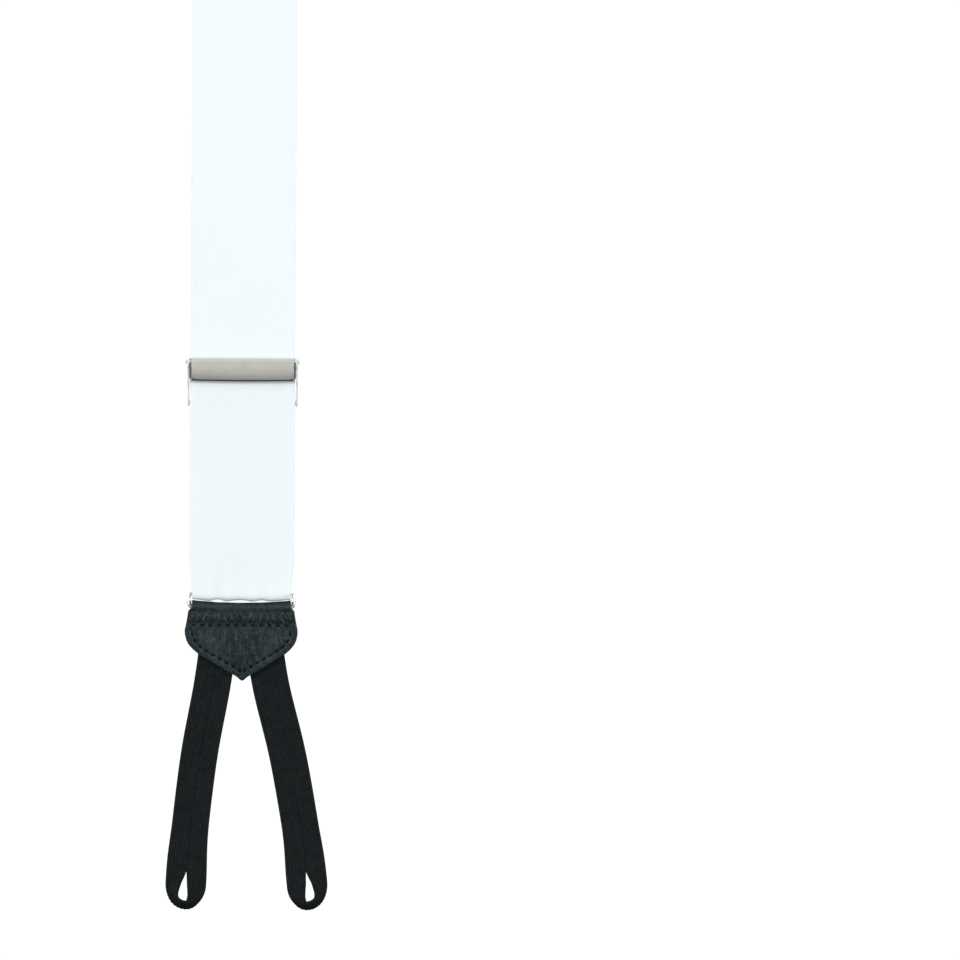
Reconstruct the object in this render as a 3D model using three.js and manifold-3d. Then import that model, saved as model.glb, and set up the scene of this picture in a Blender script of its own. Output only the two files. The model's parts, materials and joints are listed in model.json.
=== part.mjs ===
// A pair of Y-back suspenders for button-on trousers, as they hang when worn.
// Two ribbon straps run from the front ends over the shoulders and meet in a leather patch
// at the back, where an elastic strap carries on down. Each of the three ends is a wire ring,
// a folded leather tab and two braided button loops. Each front end has a lever adjuster.
// Millimetres, +Z up. The wearer faces -Y, and left and right are the wearer's own.
// The origin is midway between the shoulders, level with the top of the straps.
import * as THREE from 'three';
import Module from 'manifold-3d';
import { mergeVertices } from 'three/addons/utils/BufferGeometryUtils.js';

const wasm = await Module();
wasm.setup();

const GAP = 0.3; // clearance between pieces that touch
const radians = THREE.MathUtils.degToRad;

// Straps
const STRAP_WIDTH = 38;
const STRAP_THICK = 1;
const SHOULDER_RADIUS = 65;
const SHOULDER_SLOPE = radians(14);
const FRONT_X = 128; // a front strap's centre line from the middle of the body
const RIBBON_SPLIT_Z = -140; // below this the front ribbon shortens with the adjuster
const RING_Z = -462; // top bar of every ring
const ADJUSTER_ABOVE_RING = 80.9;

// Wire ring, and the folds that hold it
const WIRE_RADIUS = 0.7;
const RING_HALF_WIDTH = 18.9; // to the centre of the wire
const RING_HEIGHT = 5; // from bar to bar
const FOLD_HALF_WIDTH = 17.9; // what passes through the ring is drawn in a little
const RIBBON_FOLD_RADIUS = WIRE_RADIUS + GAP + STRAP_THICK / 2;
const RETURN_Y = 2 * RIBBON_FOLD_RADIUS;
const RETURN_START_Z = 6;

// Lever adjuster, measured from the centre of its lever plate
const LEVER_HALF_WIDTH = 18.3;
const LEVER_THICK = 0.55;
const PIN_RADIUS = 0.5;
const PIN_Y = -2.2;
const PIN_Z = 2.9;
const PIN_HEAD_RADIUS = 0.9;
const PIN_HEAD_LENGTH = 0.55;
const BARREL_RADIUS = 1.075; // to the middle of the rolled sheet
const CHEEK_INNER_X = 19.35;
const CHEEK_THICK = 0.6;
const ANCHOR_RADIUS = 0.8;
const ANCHOR_Y = 2.7;
const ANCHOR_Z = -11.8;
const SEWN_END = 15; // ribbon turned back below the anchor bar

// Leather tab
const LEATHER_THICK = 1.2;
const LEATHER_FOLD_RADIUS = WIRE_RADIUS + GAP + LEATHER_THICK / 2;

// Braided loops
const BRAID_HALF_WIDTH = 6.7;
const BRAID_THICK = 1.4;
const BRAID_TOP_Z = -9;
const BRAID_BOTTOM_Z = -114.2;
const LOOP_HALF_WIDTH = 7.4;
const LOOP_END_HEIGHT = 9;

// Back of the body
const BACK_LAYER_STEP = STRAP_THICK + GAP; // from one layer under the patch to the next
const ELASTIC_TOP_Z = -186;
const ELASTIC_TURN_BACK = 30;
const RIBBON_CUT_Z = -222;
const PATCH_OUTER_THICK = 1.1;
const PATCH_INNER_THICK = 0.9;

const PATCH_HALF_OUTLINE = [
  [0, -158],
  [34, -176],
  [38.2, -179.4],
  [38.4, -183],
  [23.2, -209],
  [22, -214],
  [22, -222],
  [20.5, -225.5],
  [2.5, -236.6],
  [0, -237.2],
];

const finish = {
  ribbon: { color: 0xeef6f9, roughness: 0.55, metalness: 0 },
  elastic: { color: 0xe9f1f4, roughness: 0.7, metalness: 0 },
  nickel: { color: 0xbdbcb4, roughness: 0.32, metalness: 1 },
  ringWire: { color: 0xc9c9c4, roughness: 0.2, metalness: 1 },
  leather: { color: 0x23282b, roughness: 0.5, metalness: 0 },
  braid: { color: 0x1b1e20, roughness: 0.8, metalness: 0 },
};

// ---------------------------------------------------------------- geometry helpers

function outward(geometry) {
  const position = geometry.attributes.position;
  const index = geometry.index;
  const a = new THREE.Vector3();
  const b = new THREE.Vector3();
  const c = new THREE.Vector3();
  let volume = 0;
  for (let i = 0; i < index.count; i += 3) {
    a.fromBufferAttribute(position, index.getX(i));
    b.fromBufferAttribute(position, index.getX(i + 1));
    c.fromBufferAttribute(position, index.getX(i + 2));
    volume += a.dot(b.cross(c));
  }
  if (volume < 0) {
    for (let i = 0; i < index.count; i += 3) {
      const swap = index.getX(i);
      index.setX(i, index.getX(i + 1));
      index.setX(i + 1, swap);
    }
  }
  geometry.computeVertexNormals();
  return geometry;
}

// A closed strip through rows of two edge points. Each edge point has its own normal.
function stripGeometry(rows, thickness) {
  const corners = [];
  for (const row of rows) {
    const [left, right] = row;
    for (const [edge, side] of [[left, 0.5], [right, 0.5], [right, -0.5], [left, -0.5]]) {
      const corner = edge.point.clone().addScaledVector(edge.normal, side * thickness);
      corners.push(corner.x, corner.y, corner.z);
    }
  }
  const index = [0, 2, 1, 0, 3, 2];
  const last = 4 * (rows.length - 1);
  index.push(last, last + 1, last + 2, last, last + 2, last + 3);
  for (let row = 0; row < last; row += 4) {
    for (let k = 0; k < 4; k += 1) {
      const here = row + k;
      const next = row + (k + 1) % 4;
      index.push(here, next, next + 4, here, next + 4, here + 4);
    }
  }
  const geometry = new THREE.BufferGeometry();
  geometry.setAttribute('position', new THREE.Float32BufferAttribute(corners, 3));
  geometry.setIndex(index);
  return outward(geometry);
}

// Rows of a strip that lies across X and follows a path of [y, z] points.
function rowsAlong(path, halfWidthAt) {
  return path.map(([y, z], i) => {
    const before = path[Math.max(i - 1, 0)];
    const after = path[Math.min(i + 1, path.length - 1)];
    const tangent = new THREE.Vector2(after[0] - before[0], after[1] - before[1]).normalize();
    const normal = new THREE.Vector3(0, -tangent.y, tangent.x);
    const halfWidth = halfWidthAt(y, z, i);
    return [-halfWidth, halfWidth].map((x) => ({ point: new THREE.Vector3(x, y, z), normal }));
  });
}

function arc(centreY, centreZ, radius, fromDegrees, toDegrees, steps) {
  const points = [];
  for (let i = 0; i <= steps; i += 1) {
    const angle = radians(fromDegrees + (toDegrees - fromDegrees) * i / steps);
    points.push([centreY + radius * Math.cos(angle), centreZ + radius * Math.sin(angle)]);
  }
  return points;
}

function weld(geometry) {
  const bare = geometry.clone();
  bare.deleteAttribute('normal');
  bare.deleteAttribute('uv');
  return mergeVertices(bare, 1e-4);
}

function toManifold(geometry) {
  const welded = weld(geometry);
  return new wasm.Manifold(new wasm.Mesh({
    numProp: 3,
    vertProperties: new Float32Array(welded.attributes.position.array),
    triVerts: new Uint32Array(welded.index.array),
  }));
}

function fromManifold(solid) {
  const mesh = solid.getMesh();
  const geometry = new THREE.BufferGeometry();
  geometry.setAttribute('position', new THREE.BufferAttribute(mesh.vertProperties, 3));
  geometry.setIndex(new THREE.BufferAttribute(mesh.triVerts, 1));
  geometry.computeVertexNormals();
  return geometry;
}

// A flat outline in X and Z, given a thickness along Y and centred on middleY.
function plateGeometry(shape, thickness, middleY) {
  const geometry = new THREE.ExtrudeGeometry(shape, { depth: thickness, bevelEnabled: false });
  geometry.rotateX(Math.PI / 2);
  geometry.translate(0, middleY + thickness / 2, 0);
  return geometry;
}

// An outline of [y, z] points, extruded along X from fromX to toX.
function profileAcross(outline, fromX, toX) {
  const shape = new THREE.Shape(outline.map(([y, z]) => new THREE.Vector2(y, z)));
  const geometry = new THREE.ExtrudeGeometry(shape, { depth: toX - fromX, bevelEnabled: false });
  geometry.rotateZ(Math.PI / 2);
  geometry.rotateY(Math.PI / 2);
  geometry.translate(fromX, 0, 0);
  return geometry;
}

function rodAcross(radius, fromX, toX, y, z, sides = 16) {
  const geometry = new THREE.CylinderGeometry(radius, radius, toX - fromX, sides);
  geometry.rotateZ(Math.PI / 2);
  geometry.translate((fromX + toX) / 2, y, z);
  return geometry;
}

function blockGeometry(fromX, toX, fromY, toY, fromZ, toZ) {
  const geometry = new THREE.BoxGeometry(toX - fromX, toY - fromY, toZ - fromZ);
  geometry.translate((fromX + toX) / 2, (fromY + toY) / 2, (fromZ + toZ) / 2);
  return geometry;
}

function joined(geometries) {
  let solid = toManifold(geometries[0]);
  for (const geometry of geometries.slice(1)) {
    solid = solid.add(toManifold(geometry));
  }
  return fromManifold(solid);
}

function part(name, geometry, look) {
  const mesh = new THREE.Mesh(geometry, new THREE.MeshStandardMaterial(look));
  mesh.name = name;
  return mesh;
}

// ---------------------------------------------------------------- ribbon over a shoulder

// Each shoulder is a tilted cylinder. A straight ribbon laid on it keeps its edges straight
// when unrolled, so the ribbon is a straight strip in the unrolled plane of the cylinder:
// axial is measured along the axis and around from where the front strap meets the cylinder.
const axisOut = new THREE.Vector3(Math.cos(SHOULDER_SLOPE), 0, -Math.sin(SHOULDER_SLOPE));
const axisUp = new THREE.Vector3(Math.sin(SHOULDER_SLOPE), 0, Math.cos(SHOULDER_SLOPE));
const backward = new THREE.Vector3(0, 1, 0);
const HALF_TURN = Math.PI * SHOULDER_RADIUS;
const TOP_ABOVE_FRONT = SHOULDER_RADIUS * Math.cos(SHOULDER_SLOPE)
  + HALF_TURN / 2 * Math.tan(SHOULDER_SLOPE) * Math.sin(SHOULDER_SLOPE);
const FRONT_TANGENT_Z = -TOP_ABOVE_FRONT;

function unrolled(axial, around) {
  const angle = THREE.MathUtils.clamp(around, 0, HALF_TURN) / SHOULDER_RADIUS;
  const normal = backward.clone().multiplyScalar(-Math.cos(angle));
  normal.addScaledVector(axisUp, Math.sin(angle));
  const point = new THREE.Vector3(FRONT_X, 0, FRONT_TANGENT_Z);
  point.addScaledVector(axisOut, axial);
  point.addScaledVector(normal, SHOULDER_RADIUS);
  if (around < 0) {
    point.addScaledVector(axisUp, around);
  }
  if (around > HALF_TURN) {
    point.addScaledVector(axisUp, HALF_TURN - around);
  }
  return { point, normal };
}

// A point of the ribbon, along its length from the front tangent and across it.
function ribbonPoint(along, across) {
  const axial = -along * Math.sin(SHOULDER_SLOPE) + across * Math.cos(SHOULDER_SLOPE);
  const around = along * Math.cos(SHOULDER_SLOPE) + across * Math.sin(SHOULDER_SLOPE);
  return unrolled(axial, around);
}

function shoulderRibbonRows() {
  const half = STRAP_WIDTH / 2;
  const slope = SHOULDER_SLOPE;
  const reach = half * Math.sin(slope) / Math.cos(slope);
  const wrapStart = -reach;
  const wrapEnd = HALF_TURN / Math.cos(slope) + reach;
  const wrapSteps = 26;
  const stations = [RIBBON_SPLIT_Z - FRONT_TANGENT_Z];
  for (let i = 0; i <= wrapSteps; i += 1) {
    stations.push(wrapStart + (wrapEnd - wrapStart) * i / wrapSteps);
  }
  // The inner edge meets the middle of the back here, and the other strap's edge with it.
  const middleX = GAP / 2;
  const innerMeets = (FRONT_X - middleX + HALF_TURN * Math.sin(slope) - half * Math.cos(2 * slope))
    / Math.sin(2 * slope);
  stations.push(innerMeets);
  const rows = stations.map((along) => [ribbonPoint(along, -half), ribbonPoint(along, half)]);
  const outerAtCut = (FRONT_TANGENT_Z - half * Math.sin(2 * slope) + HALF_TURN * Math.cos(slope)
    - RIBBON_CUT_Z) / Math.cos(2 * slope);
  const mitre = {
    point: new THREE.Vector3(middleX, SHOULDER_RADIUS, RIBBON_CUT_Z),
    normal: backward.clone(),
  };
  rows.push([mitre, ribbonPoint(outerAtCut, half)]);
  return rows;
}

function mirrored(rows, side) {
  const flip = new THREE.Vector3(side, 1, 1);
  return rows.map((row) => row.map(({ point, normal }) => ({
    point: point.clone().multiply(flip),
    normal: normal.clone().multiply(flip),
  })));
}

// ---------------------------------------------------------------- front ribbon and adjuster

// From here each end is drawn about its ring: the origin is where the centre of the strap's
// outer layer passes the ring's top bar, and local -Y is away from the body.

// What goes through the ring narrows from the full strap width over this height.
const DRAW_IN_HEIGHT = 14;

function strapHalfWidth(y, z) {
  const eased = THREE.MathUtils.smoothstep(z, 0, DRAW_IN_HEIGHT);
  return THREE.MathUtils.lerp(FOLD_HALF_WIDTH, STRAP_WIDTH / 2, eased);
}

function foldRoundRing(topZ, backTopZ) {
  const path = [[0, topZ], [0, DRAW_IN_HEIGHT], [0, 9], [0, 5]];
  path.push(...arc(RIBBON_FOLD_RADIUS, 0, RIBBON_FOLD_RADIUS, 180, 360, 10));
  for (const z of [5, 9, DRAW_IN_HEIGHT, backTopZ]) {
    if (z <= backTopZ) {
      path.push([RETURN_Y, z]);
    }
  }
  return path;
}

function frontRibbonGeometry() {
  const path = foldRoundRing(RIBBON_SPLIT_Z - RING_Z - GAP, RETURN_START_Z - GAP);
  return stripGeometry(rowsAlong(path, strapHalfWidth), STRAP_THICK);
}

// The ribbon comes up behind, goes over the adjuster's anchor bar and is sewn down in front.
function returnRibbonGeometry() {
  const barZ = ADJUSTER_ABOVE_RING + ANCHOR_Z;
  const wrap = ANCHOR_RADIUS + GAP + STRAP_THICK / 2;
  const behind = ANCHOR_Y + wrap;
  const inFront = ANCHOR_Y - wrap + 0.2;
  const path = [[RETURN_Y, RETURN_START_Z], [RETURN_Y, 9], [RETURN_Y, DRAW_IN_HEIGHT]];
  path.push([RETURN_Y, barZ - 12], [behind - 0.2, barZ - 5]);
  path.push(...arc(ANCHOR_Y, barZ, wrap, 0, 180, 10));
  path.push([inFront, barZ - 3], [inFront + 0.15, barZ - 6], [inFront + 0.15, barZ - SEWN_END]);
  return stripGeometry(rowsAlong(path, strapHalfWidth), STRAP_THICK);
}

// One bent sheet: a toothed lip behind the pin, a barrel rolled round it, and the cover plate
// that hangs in front and curls in towards its lower edge.
function leverGeometry() {
  const path = [[PIN_Y + BARREL_RADIUS, PIN_Z - 2.3]];
  path.push(...arc(PIN_Y, PIN_Z, BARREL_RADIUS, 0, 180, 14));
  const front = PIN_Y - BARREL_RADIUS;
  path.push([front - 0.06, 1.6], [front - 0.06, 0.2], [front + 0.02, -1.2]);
  path.push([front + 0.2, -2.5], [front + 0.5, -3.5], [front + 0.85, -4.15]);
  return stripGeometry(rowsAlong(path, () => LEVER_HALF_WIDTH), LEVER_THICK);
}

function leverPinGeometry() {
  const headStart = CHEEK_INNER_X + CHEEK_THICK + GAP;
  const headEnd = headStart + PIN_HEAD_LENGTH;
  return joined([
    rodAcross(PIN_RADIUS, -headEnd, headEnd, PIN_Y, PIN_Z),
    rodAcross(PIN_HEAD_RADIUS, -headEnd, -headStart, PIN_Y, PIN_Z),
    rodAcross(PIN_HEAD_RADIUS, headStart, headEnd, PIN_Y, PIN_Z),
  ]);
}

// Two cheeks joined by the plate that the teeth press against and by the anchor bar.
function adjusterFrameGeometry() {
  const outline = [
    [-3, 1.2],
    [-3.3, 2],
    [-3.3, 3.6],
    [-2.6, 4.4],
    [2.6, 4.4],
    [2.6, -3.4],
    [3.9, -6],
    [3.9, -12.6],
    [3.4, -13.2],
    [2, -13.2],
    [1.5, -12.6],
    [1.5, -6],
    [0.8, -4.4],
    [-1.6, -4.4],
    [-2, -4],
    [-2, 0.4],
  ];
  const cheekOuter = CHEEK_INNER_X + CHEEK_THICK;
  const cheeks = [[-cheekOuter, -CHEEK_INNER_X], [CHEEK_INNER_X, cheekOuter]]
    .map(([fromX, toX]) => profileAcross(outline, fromX, toX));
  const plateBack = 1.7;
  const plateFront = STRAP_THICK / 2 + GAP;
  const inCheek = CHEEK_INNER_X + CHEEK_THICK / 2;
  const plate = blockGeometry(-inCheek, inCheek, plateFront, plateBack, -3.2, 4);
  const rib = blockGeometry(-inCheek, inCheek, plateBack - 0.2, 2.5, -3.2, -2.4);
  const anchor = rodAcross(ANCHOR_RADIUS, -inCheek, inCheek, ANCHOR_Y, ANCHOR_Z);
  const solid = toManifold(joined([...cheeks, plate, rib, anchor]));
  const pinHole = rodAcross(PIN_RADIUS + GAP, -cheekOuter - 1, cheekOuter + 1, PIN_Y, PIN_Z);
  return fromManifold(solid.subtract(toManifold(pinHole)));
}

// ---------------------------------------------------------------- ring, tab and loops

// A ring of round wire with rounded corners: its section, turned round each corner.
function ringGeometry() {
  const sides = 8;
  const cornerRadius = 1.2;
  const cornerSteps = 4;
  const quarterCentres = [
    [RING_HALF_WIDTH - cornerRadius, -cornerRadius, 0],
    [-RING_HALF_WIDTH + cornerRadius, -cornerRadius, 90],
    [-RING_HALF_WIDTH + cornerRadius, cornerRadius - RING_HEIGHT, 180],
    [RING_HALF_WIDTH - cornerRadius, cornerRadius - RING_HEIGHT, 270],
  ];
  const corners = [];
  for (const [centreX, centreZ, startDegrees] of quarterCentres) {
    for (let i = 0; i <= cornerSteps; i += 1) {
      const angle = radians(startDegrees + 90 * i / cornerSteps);
      for (let k = 0; k < sides; k += 1) {
        const around = radians(360 * k / sides);
        const reach = cornerRadius + WIRE_RADIUS * Math.cos(around);
        corners.push(centreX + reach * Math.cos(angle));
        corners.push(RIBBON_FOLD_RADIUS + WIRE_RADIUS * Math.sin(around));
        corners.push(centreZ + reach * Math.sin(angle));
      }
    }
  }
  const sections = corners.length / 3 / sides;
  const index = [];
  for (let s = 0; s < sections; s += 1) {
    const next = (s + 1) % sections;
    for (let k = 0; k < sides; k += 1) {
      const beside = (k + 1) % sides;
      const a = s * sides + k;
      const b = s * sides + beside;
      const c = next * sides + beside;
      const d = next * sides + k;
      index.push(a, b, c, a, c, d);
    }
  }
  const geometry = new THREE.BufferGeometry();
  geometry.setAttribute('position', new THREE.Float32BufferAttribute(corners, 3));
  geometry.setIndex(index);
  return outward(geometry);
}

// Half width of the leather tab at a distance below the ring's lower bar: drawn in at the
// fold, widest below the cross stitching, then a rounded shoulder and a blunt point.
const TAB_OUTLINE = [
  [0, 17.9],
  [1, 17.9],
  [2, 19.2],
  [4.6, 19.6],
  [7, 20.2],
  [9.6, 20.4],
  [12, 19.8],
  [14, 18.7],
  [15.7, 17.1],
  [17.3, 14.9],
  [25.2, 2],
  [26.2, 1],
  [26.8, 0.4],
];

function tabHalfWidth(below) {
  const depth = Math.max(below, 0);
  let i = 1;
  while (i < TAB_OUTLINE.length - 1 && TAB_OUTLINE[i][0] < depth) {
    i += 1;
  }
  const [depthA, widthA] = TAB_OUTLINE[i - 1];
  const [depthB, widthB] = TAB_OUTLINE[i];
  return THREE.MathUtils.mapLinear(depth, depthA, depthB, widthA, widthB);
}

function tabLeatherGeometry() {
  const barY = RIBBON_FOLD_RADIUS;
  const barZ = -RING_HEIGHT;
  const depths = TAB_OUTLINE.map(([depth]) => depth).slice(1);
  const frontY = barY - LEATHER_FOLD_RADIUS;
  const backY = barY + LEATHER_FOLD_RADIUS;
  const path = depths.toReversed().map((depth) => [frontY, barZ - depth]);
  path.push(...arc(barY, barZ, LEATHER_FOLD_RADIUS, 180, 0, 10));
  path.push(...depths.map((depth) => [backY, barZ - depth]));
  return stripGeometry(rowsAlong(path, (y, z) => tabHalfWidth(barZ - z)), LEATHER_THICK);
}

// A braided tape laid in a hairpin: two legs side by side down to a slit for the button.
// Its centre line swings out from under the leather.
const INNER_BRAID_LINE = [[-7.3, BRAID_TOP_Z], [-10.2, -32], [-15, -59], [-18.5, -89], [-19.5, -105]];
const OUTER_BRAID_LINE = [[7.3, BRAID_TOP_Z], [10.6, -32], [17.2, -59], [22.4, -88], [24.4, -105]];

// The slit: distance toward the side that gapes, and height above the loop's bottom. One leg
// stays flat, so its edge is straight, and the other is drawn aside on edge.
const SLIT_OUTLINE = [[0, 13.8], [-0.35, 9], [-0.6, 2.7], [1, 2.5], [2.6, 3.6], [3, 5.4], [2.4, 7.4]];

function braidGeometry(line, side) {
  const bottom = new THREE.Vector2(line[line.length - 1][0], BRAID_BOTTOM_Z);
  const curve = new THREE.SplineCurve(line.map(([x, z]) => new THREE.Vector2(x, z)));
  const steps = 14;
  const left = [];
  const right = [];
  for (let i = 0; i <= steps; i += 1) {
    const point = curve.getPointAt(i / steps);
    const tangent = curve.getTangentAt(i / steps);
    const swell = THREE.MathUtils.smoothstep(-point.y, -BRAID_BOTTOM_Z - 32, -BRAID_BOTTOM_Z - 11);
    const half = THREE.MathUtils.lerp(BRAID_HALF_WIDTH, LOOP_HALF_WIDTH, swell);
    left.push(new THREE.Vector2(point.x - tangent.y * half, point.y + tangent.x * half));
    right.push(new THREE.Vector2(point.x + tangent.y * half, point.y - tangent.x * half));
  }
  const endSteps = 10;
  const end = [];
  for (let i = 1; i < endSteps; i += 1) {
    const angle = Math.PI * i / endSteps;
    const x = bottom.x + LOOP_HALF_WIDTH * Math.cos(angle);
    end.push(new THREE.Vector2(x, bottom.y + LOOP_END_HEIGHT * (1 - Math.sin(angle))));
  }
  const outline = [...left, ...end, ...right.toReversed()];
  const gapes = Math.sign(bottom.x);
  const slit = SLIT_OUTLINE
    .map(([aside, height]) => new THREE.Vector2(bottom.x + gapes * aside, bottom.y + height));
  // Extruding needs a hole's outline to run the other way from the shape's.
  if (THREE.ShapeUtils.isClockWise(slit) === THREE.ShapeUtils.isClockWise(outline)) {
    slit.reverse();
  }
  const sided = (points) => points.map(({ x, y }) => new THREE.Vector2(side * x, y));
  const shape = new THREE.Shape(sided(outline));
  shape.holes.push(new THREE.Path(sided(slit)));
  return plateGeometry(shape, BRAID_THICK, RIBBON_FOLD_RADIUS);
}

// ---------------------------------------------------------------- sub-assemblies

function frontEnd(name, side) {
  const end = new THREE.Group();
  end.position.set(side * FRONT_X, -SHOULDER_RADIUS, RING_Z);
  const adjuster = new THREE.Group();
  adjuster.position.z = ADJUSTER_ABOVE_RING;
  adjuster.add(
    part(`${name}_adjuster_frame`, adjusterFrameGeometry(), finish.nickel),
    part(`${name}_adjuster_lever`, leverGeometry(), finish.nickel),
    part(`${name}_lever_pin`, leverPinGeometry(), finish.nickel),
  );
  end.add(
    part(`${name}_ribbon_front`, frontRibbonGeometry(), finish.ribbon),
    part(`${name}_ribbon_return`, returnRibbonGeometry(), finish.ribbon),
    adjuster,
    part(`${name}_ring`, ringGeometry(), finish.ringWire),
    part(`${name}_tab_leather`, tabLeatherGeometry(), finish.leather),
    part(`${name}_braid_inner`, braidGeometry(INNER_BRAID_LINE, side), finish.braid),
    part(`${name}_braid_outer`, braidGeometry(OUTER_BRAID_LINE, side), finish.braid),
  );
  return end;
}

function elasticGeometry() {
  const path = foldRoundRing(ELASTIC_TOP_Z - RING_Z, ELASTIC_TURN_BACK);
  return stripGeometry(rowsAlong(path, strapHalfWidth), STRAP_THICK);
}

// The back end faces the other way: local -Y, away from the body, is +Y of the whole.
function backEnd() {
  const end = new THREE.Group();
  end.position.set(0, SHOULDER_RADIUS - BACK_LAYER_STEP, RING_Z);
  end.rotation.z = Math.PI;
  end.add(
    part('elastic', elasticGeometry(), finish.elastic),
    part('back_ring', ringGeometry(), finish.ringWire),
    part('back_tab_leather', tabLeatherGeometry(), finish.leather),
    part('back_braid_left', braidGeometry(OUTER_BRAID_LINE, -1), finish.braid),
    part('back_braid_right', braidGeometry(OUTER_BRAID_LINE, 1), finish.braid),
  );
  return end;
}

function patchShape() {
  const half = PATCH_HALF_OUTLINE.map(([x, z]) => new THREE.Vector2(x, z));
  const other = half.slice(1, -1).toReversed().map(({ x, y }) => new THREE.Vector2(-x, y));
  return new THREE.Shape([...half, ...other]);
}

function backPatch() {
  const outerY = SHOULDER_RADIUS + STRAP_THICK / 2 + GAP + PATCH_OUTER_THICK / 2;
  const innerY = SHOULDER_RADIUS - BACK_LAYER_STEP - STRAP_THICK / 2 - GAP - PATCH_INNER_THICK / 2;
  const patch = new THREE.Group();
  patch.add(
    part('y_patch_outer', plateGeometry(patchShape(), PATCH_OUTER_THICK, outerY), finish.leather),
    part('y_patch_inner', plateGeometry(patchShape(), PATCH_INNER_THICK, innerY), finish.leather),
  );
  return patch;
}

const suspenders = new THREE.Group();
for (const [name, side] of [['left', 1], ['right', -1]]) {
  const rows = mirrored(shoulderRibbonRows(), side);
  suspenders.add(part(`${name}_ribbon`, stripGeometry(rows, STRAP_THICK), finish.ribbon));
  suspenders.add(frontEnd(name, side));
}
suspenders.add(backPatch());
suspenders.add(backEnd());

export default suspenders;
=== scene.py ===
import json
import math

import bpy
import numpy as np
from mathutils import Matrix, Vector


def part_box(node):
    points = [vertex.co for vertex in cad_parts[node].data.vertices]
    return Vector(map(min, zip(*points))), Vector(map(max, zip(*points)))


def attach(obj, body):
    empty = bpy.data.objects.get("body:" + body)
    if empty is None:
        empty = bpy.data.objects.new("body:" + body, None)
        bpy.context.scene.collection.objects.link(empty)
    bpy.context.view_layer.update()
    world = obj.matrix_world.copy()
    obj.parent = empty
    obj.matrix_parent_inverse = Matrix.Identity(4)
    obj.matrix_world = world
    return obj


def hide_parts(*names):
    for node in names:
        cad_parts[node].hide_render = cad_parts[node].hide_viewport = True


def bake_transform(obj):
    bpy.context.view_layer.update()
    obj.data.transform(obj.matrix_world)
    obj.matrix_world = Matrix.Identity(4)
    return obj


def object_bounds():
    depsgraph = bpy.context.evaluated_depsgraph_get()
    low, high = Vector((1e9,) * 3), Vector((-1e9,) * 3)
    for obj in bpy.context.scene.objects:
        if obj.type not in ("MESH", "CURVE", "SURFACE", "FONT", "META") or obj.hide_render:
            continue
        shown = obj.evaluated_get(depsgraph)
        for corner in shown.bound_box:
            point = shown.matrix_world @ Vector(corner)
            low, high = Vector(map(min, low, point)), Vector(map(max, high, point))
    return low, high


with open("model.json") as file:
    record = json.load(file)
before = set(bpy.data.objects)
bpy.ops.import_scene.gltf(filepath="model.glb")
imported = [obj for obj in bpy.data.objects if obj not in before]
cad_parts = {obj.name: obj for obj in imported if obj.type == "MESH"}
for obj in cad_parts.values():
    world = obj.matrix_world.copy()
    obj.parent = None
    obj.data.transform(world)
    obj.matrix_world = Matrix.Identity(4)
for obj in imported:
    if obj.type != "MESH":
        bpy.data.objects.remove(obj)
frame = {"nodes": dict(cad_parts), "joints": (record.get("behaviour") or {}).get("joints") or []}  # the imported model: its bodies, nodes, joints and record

# Suspenders as they hang when worn. Lengths are in millimetres until place() or metres() turns
# them into the frame's metres. The wearer faces -Y, and left is the wearer's left, +X.

cad_low, cad_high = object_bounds()
MM = 0.001
JOINTS = {joint["name"]: joint for joint in frame["joints"]}
rng = np.random.default_rng(11)

STRAP_HALF = 19.0
STRAP_THICK = 1.0
RIBBON_STEP = 0.95  # between the middle columns of the ribbon's mesh
ELASTIC_STEP = 0.42  # finer, for its ribs
FOLD_HALF = 17.9  # the strap is drawn in to this where it passes the ring
DRAW_IN_HEIGHT = 14.0
FOLD_RADIUS = 1.5  # from the ring's bar to the middle of the ribbon
RETURN_START = 6.0  # above the ring; below this the return is one with the fold
SEAM_HEIGHT = RETURN_START - 0.3  # where the fold's turned-up end meets the return
SHOULDER_SLOPE = math.radians(14)
WIRE_RADIUS = 0.7
RING_HALF_WIDTH = 18.9
LEATHER_THICK = 1.2
LEATHER_RADIUS = 1.6  # from the ring's lower bar to the middle of the leather
TAPE_HALF = 3.35
BRAID_BOTTOM = -114.2
ANCHOR_BEHIND = 2.7  # the adjuster's anchor bar behind the middle of the front layer
ANCHOR_BELOW = 11.8  # the adjuster's anchor bar below the lever plate's middle
PLATE_BELOW_PIN = 2.9


def metres(points):
    return np.asarray(points, float) * MM


def joint_place(name):
    return np.array(JOINTS[name]["pos_m"])


def vectors(*parts):
    """Vectors from their components, which are numbers or arrays that broadcast together."""
    return np.stack(np.broadcast_arrays(*parts), -1)


# ---------------------------------------------------------------- camera, light, backdrop

CAMERA_DISTANCE = 4.0
FRAME_WIDTH = 0.3475  # what the picture's width spans at the front strap
STRAP_LEFT_OF_MIDDLE = 0.0861
LOOPS_BELOW_MIDDLE = 0.1558
CAMERA_ROLL = math.radians(0.35)
SEEN_WHITE = 1.05  # how bright the backdrop and the floor are to the camera
FLOOR_DROP = 0.075  # below the loops, clear of them with the straps let right out
LIGHTS = [  # name, metres from the middle of the straps, size in metres, watts
    ("key", (-2.4, -1.8, 0.7), 0.5, 30),
    ("fill", (2.2, -1.8, 0.6), 0.5, 22),
    ("low_left", (-1.5, -1.1, -0.27), 0.4, 7),
    ("low_right", (1.6, -1.0, -0.25), 0.4, 6),
    ("rim", (0.6, 2.6, 1.4), 1.2, 34),
]


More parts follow.
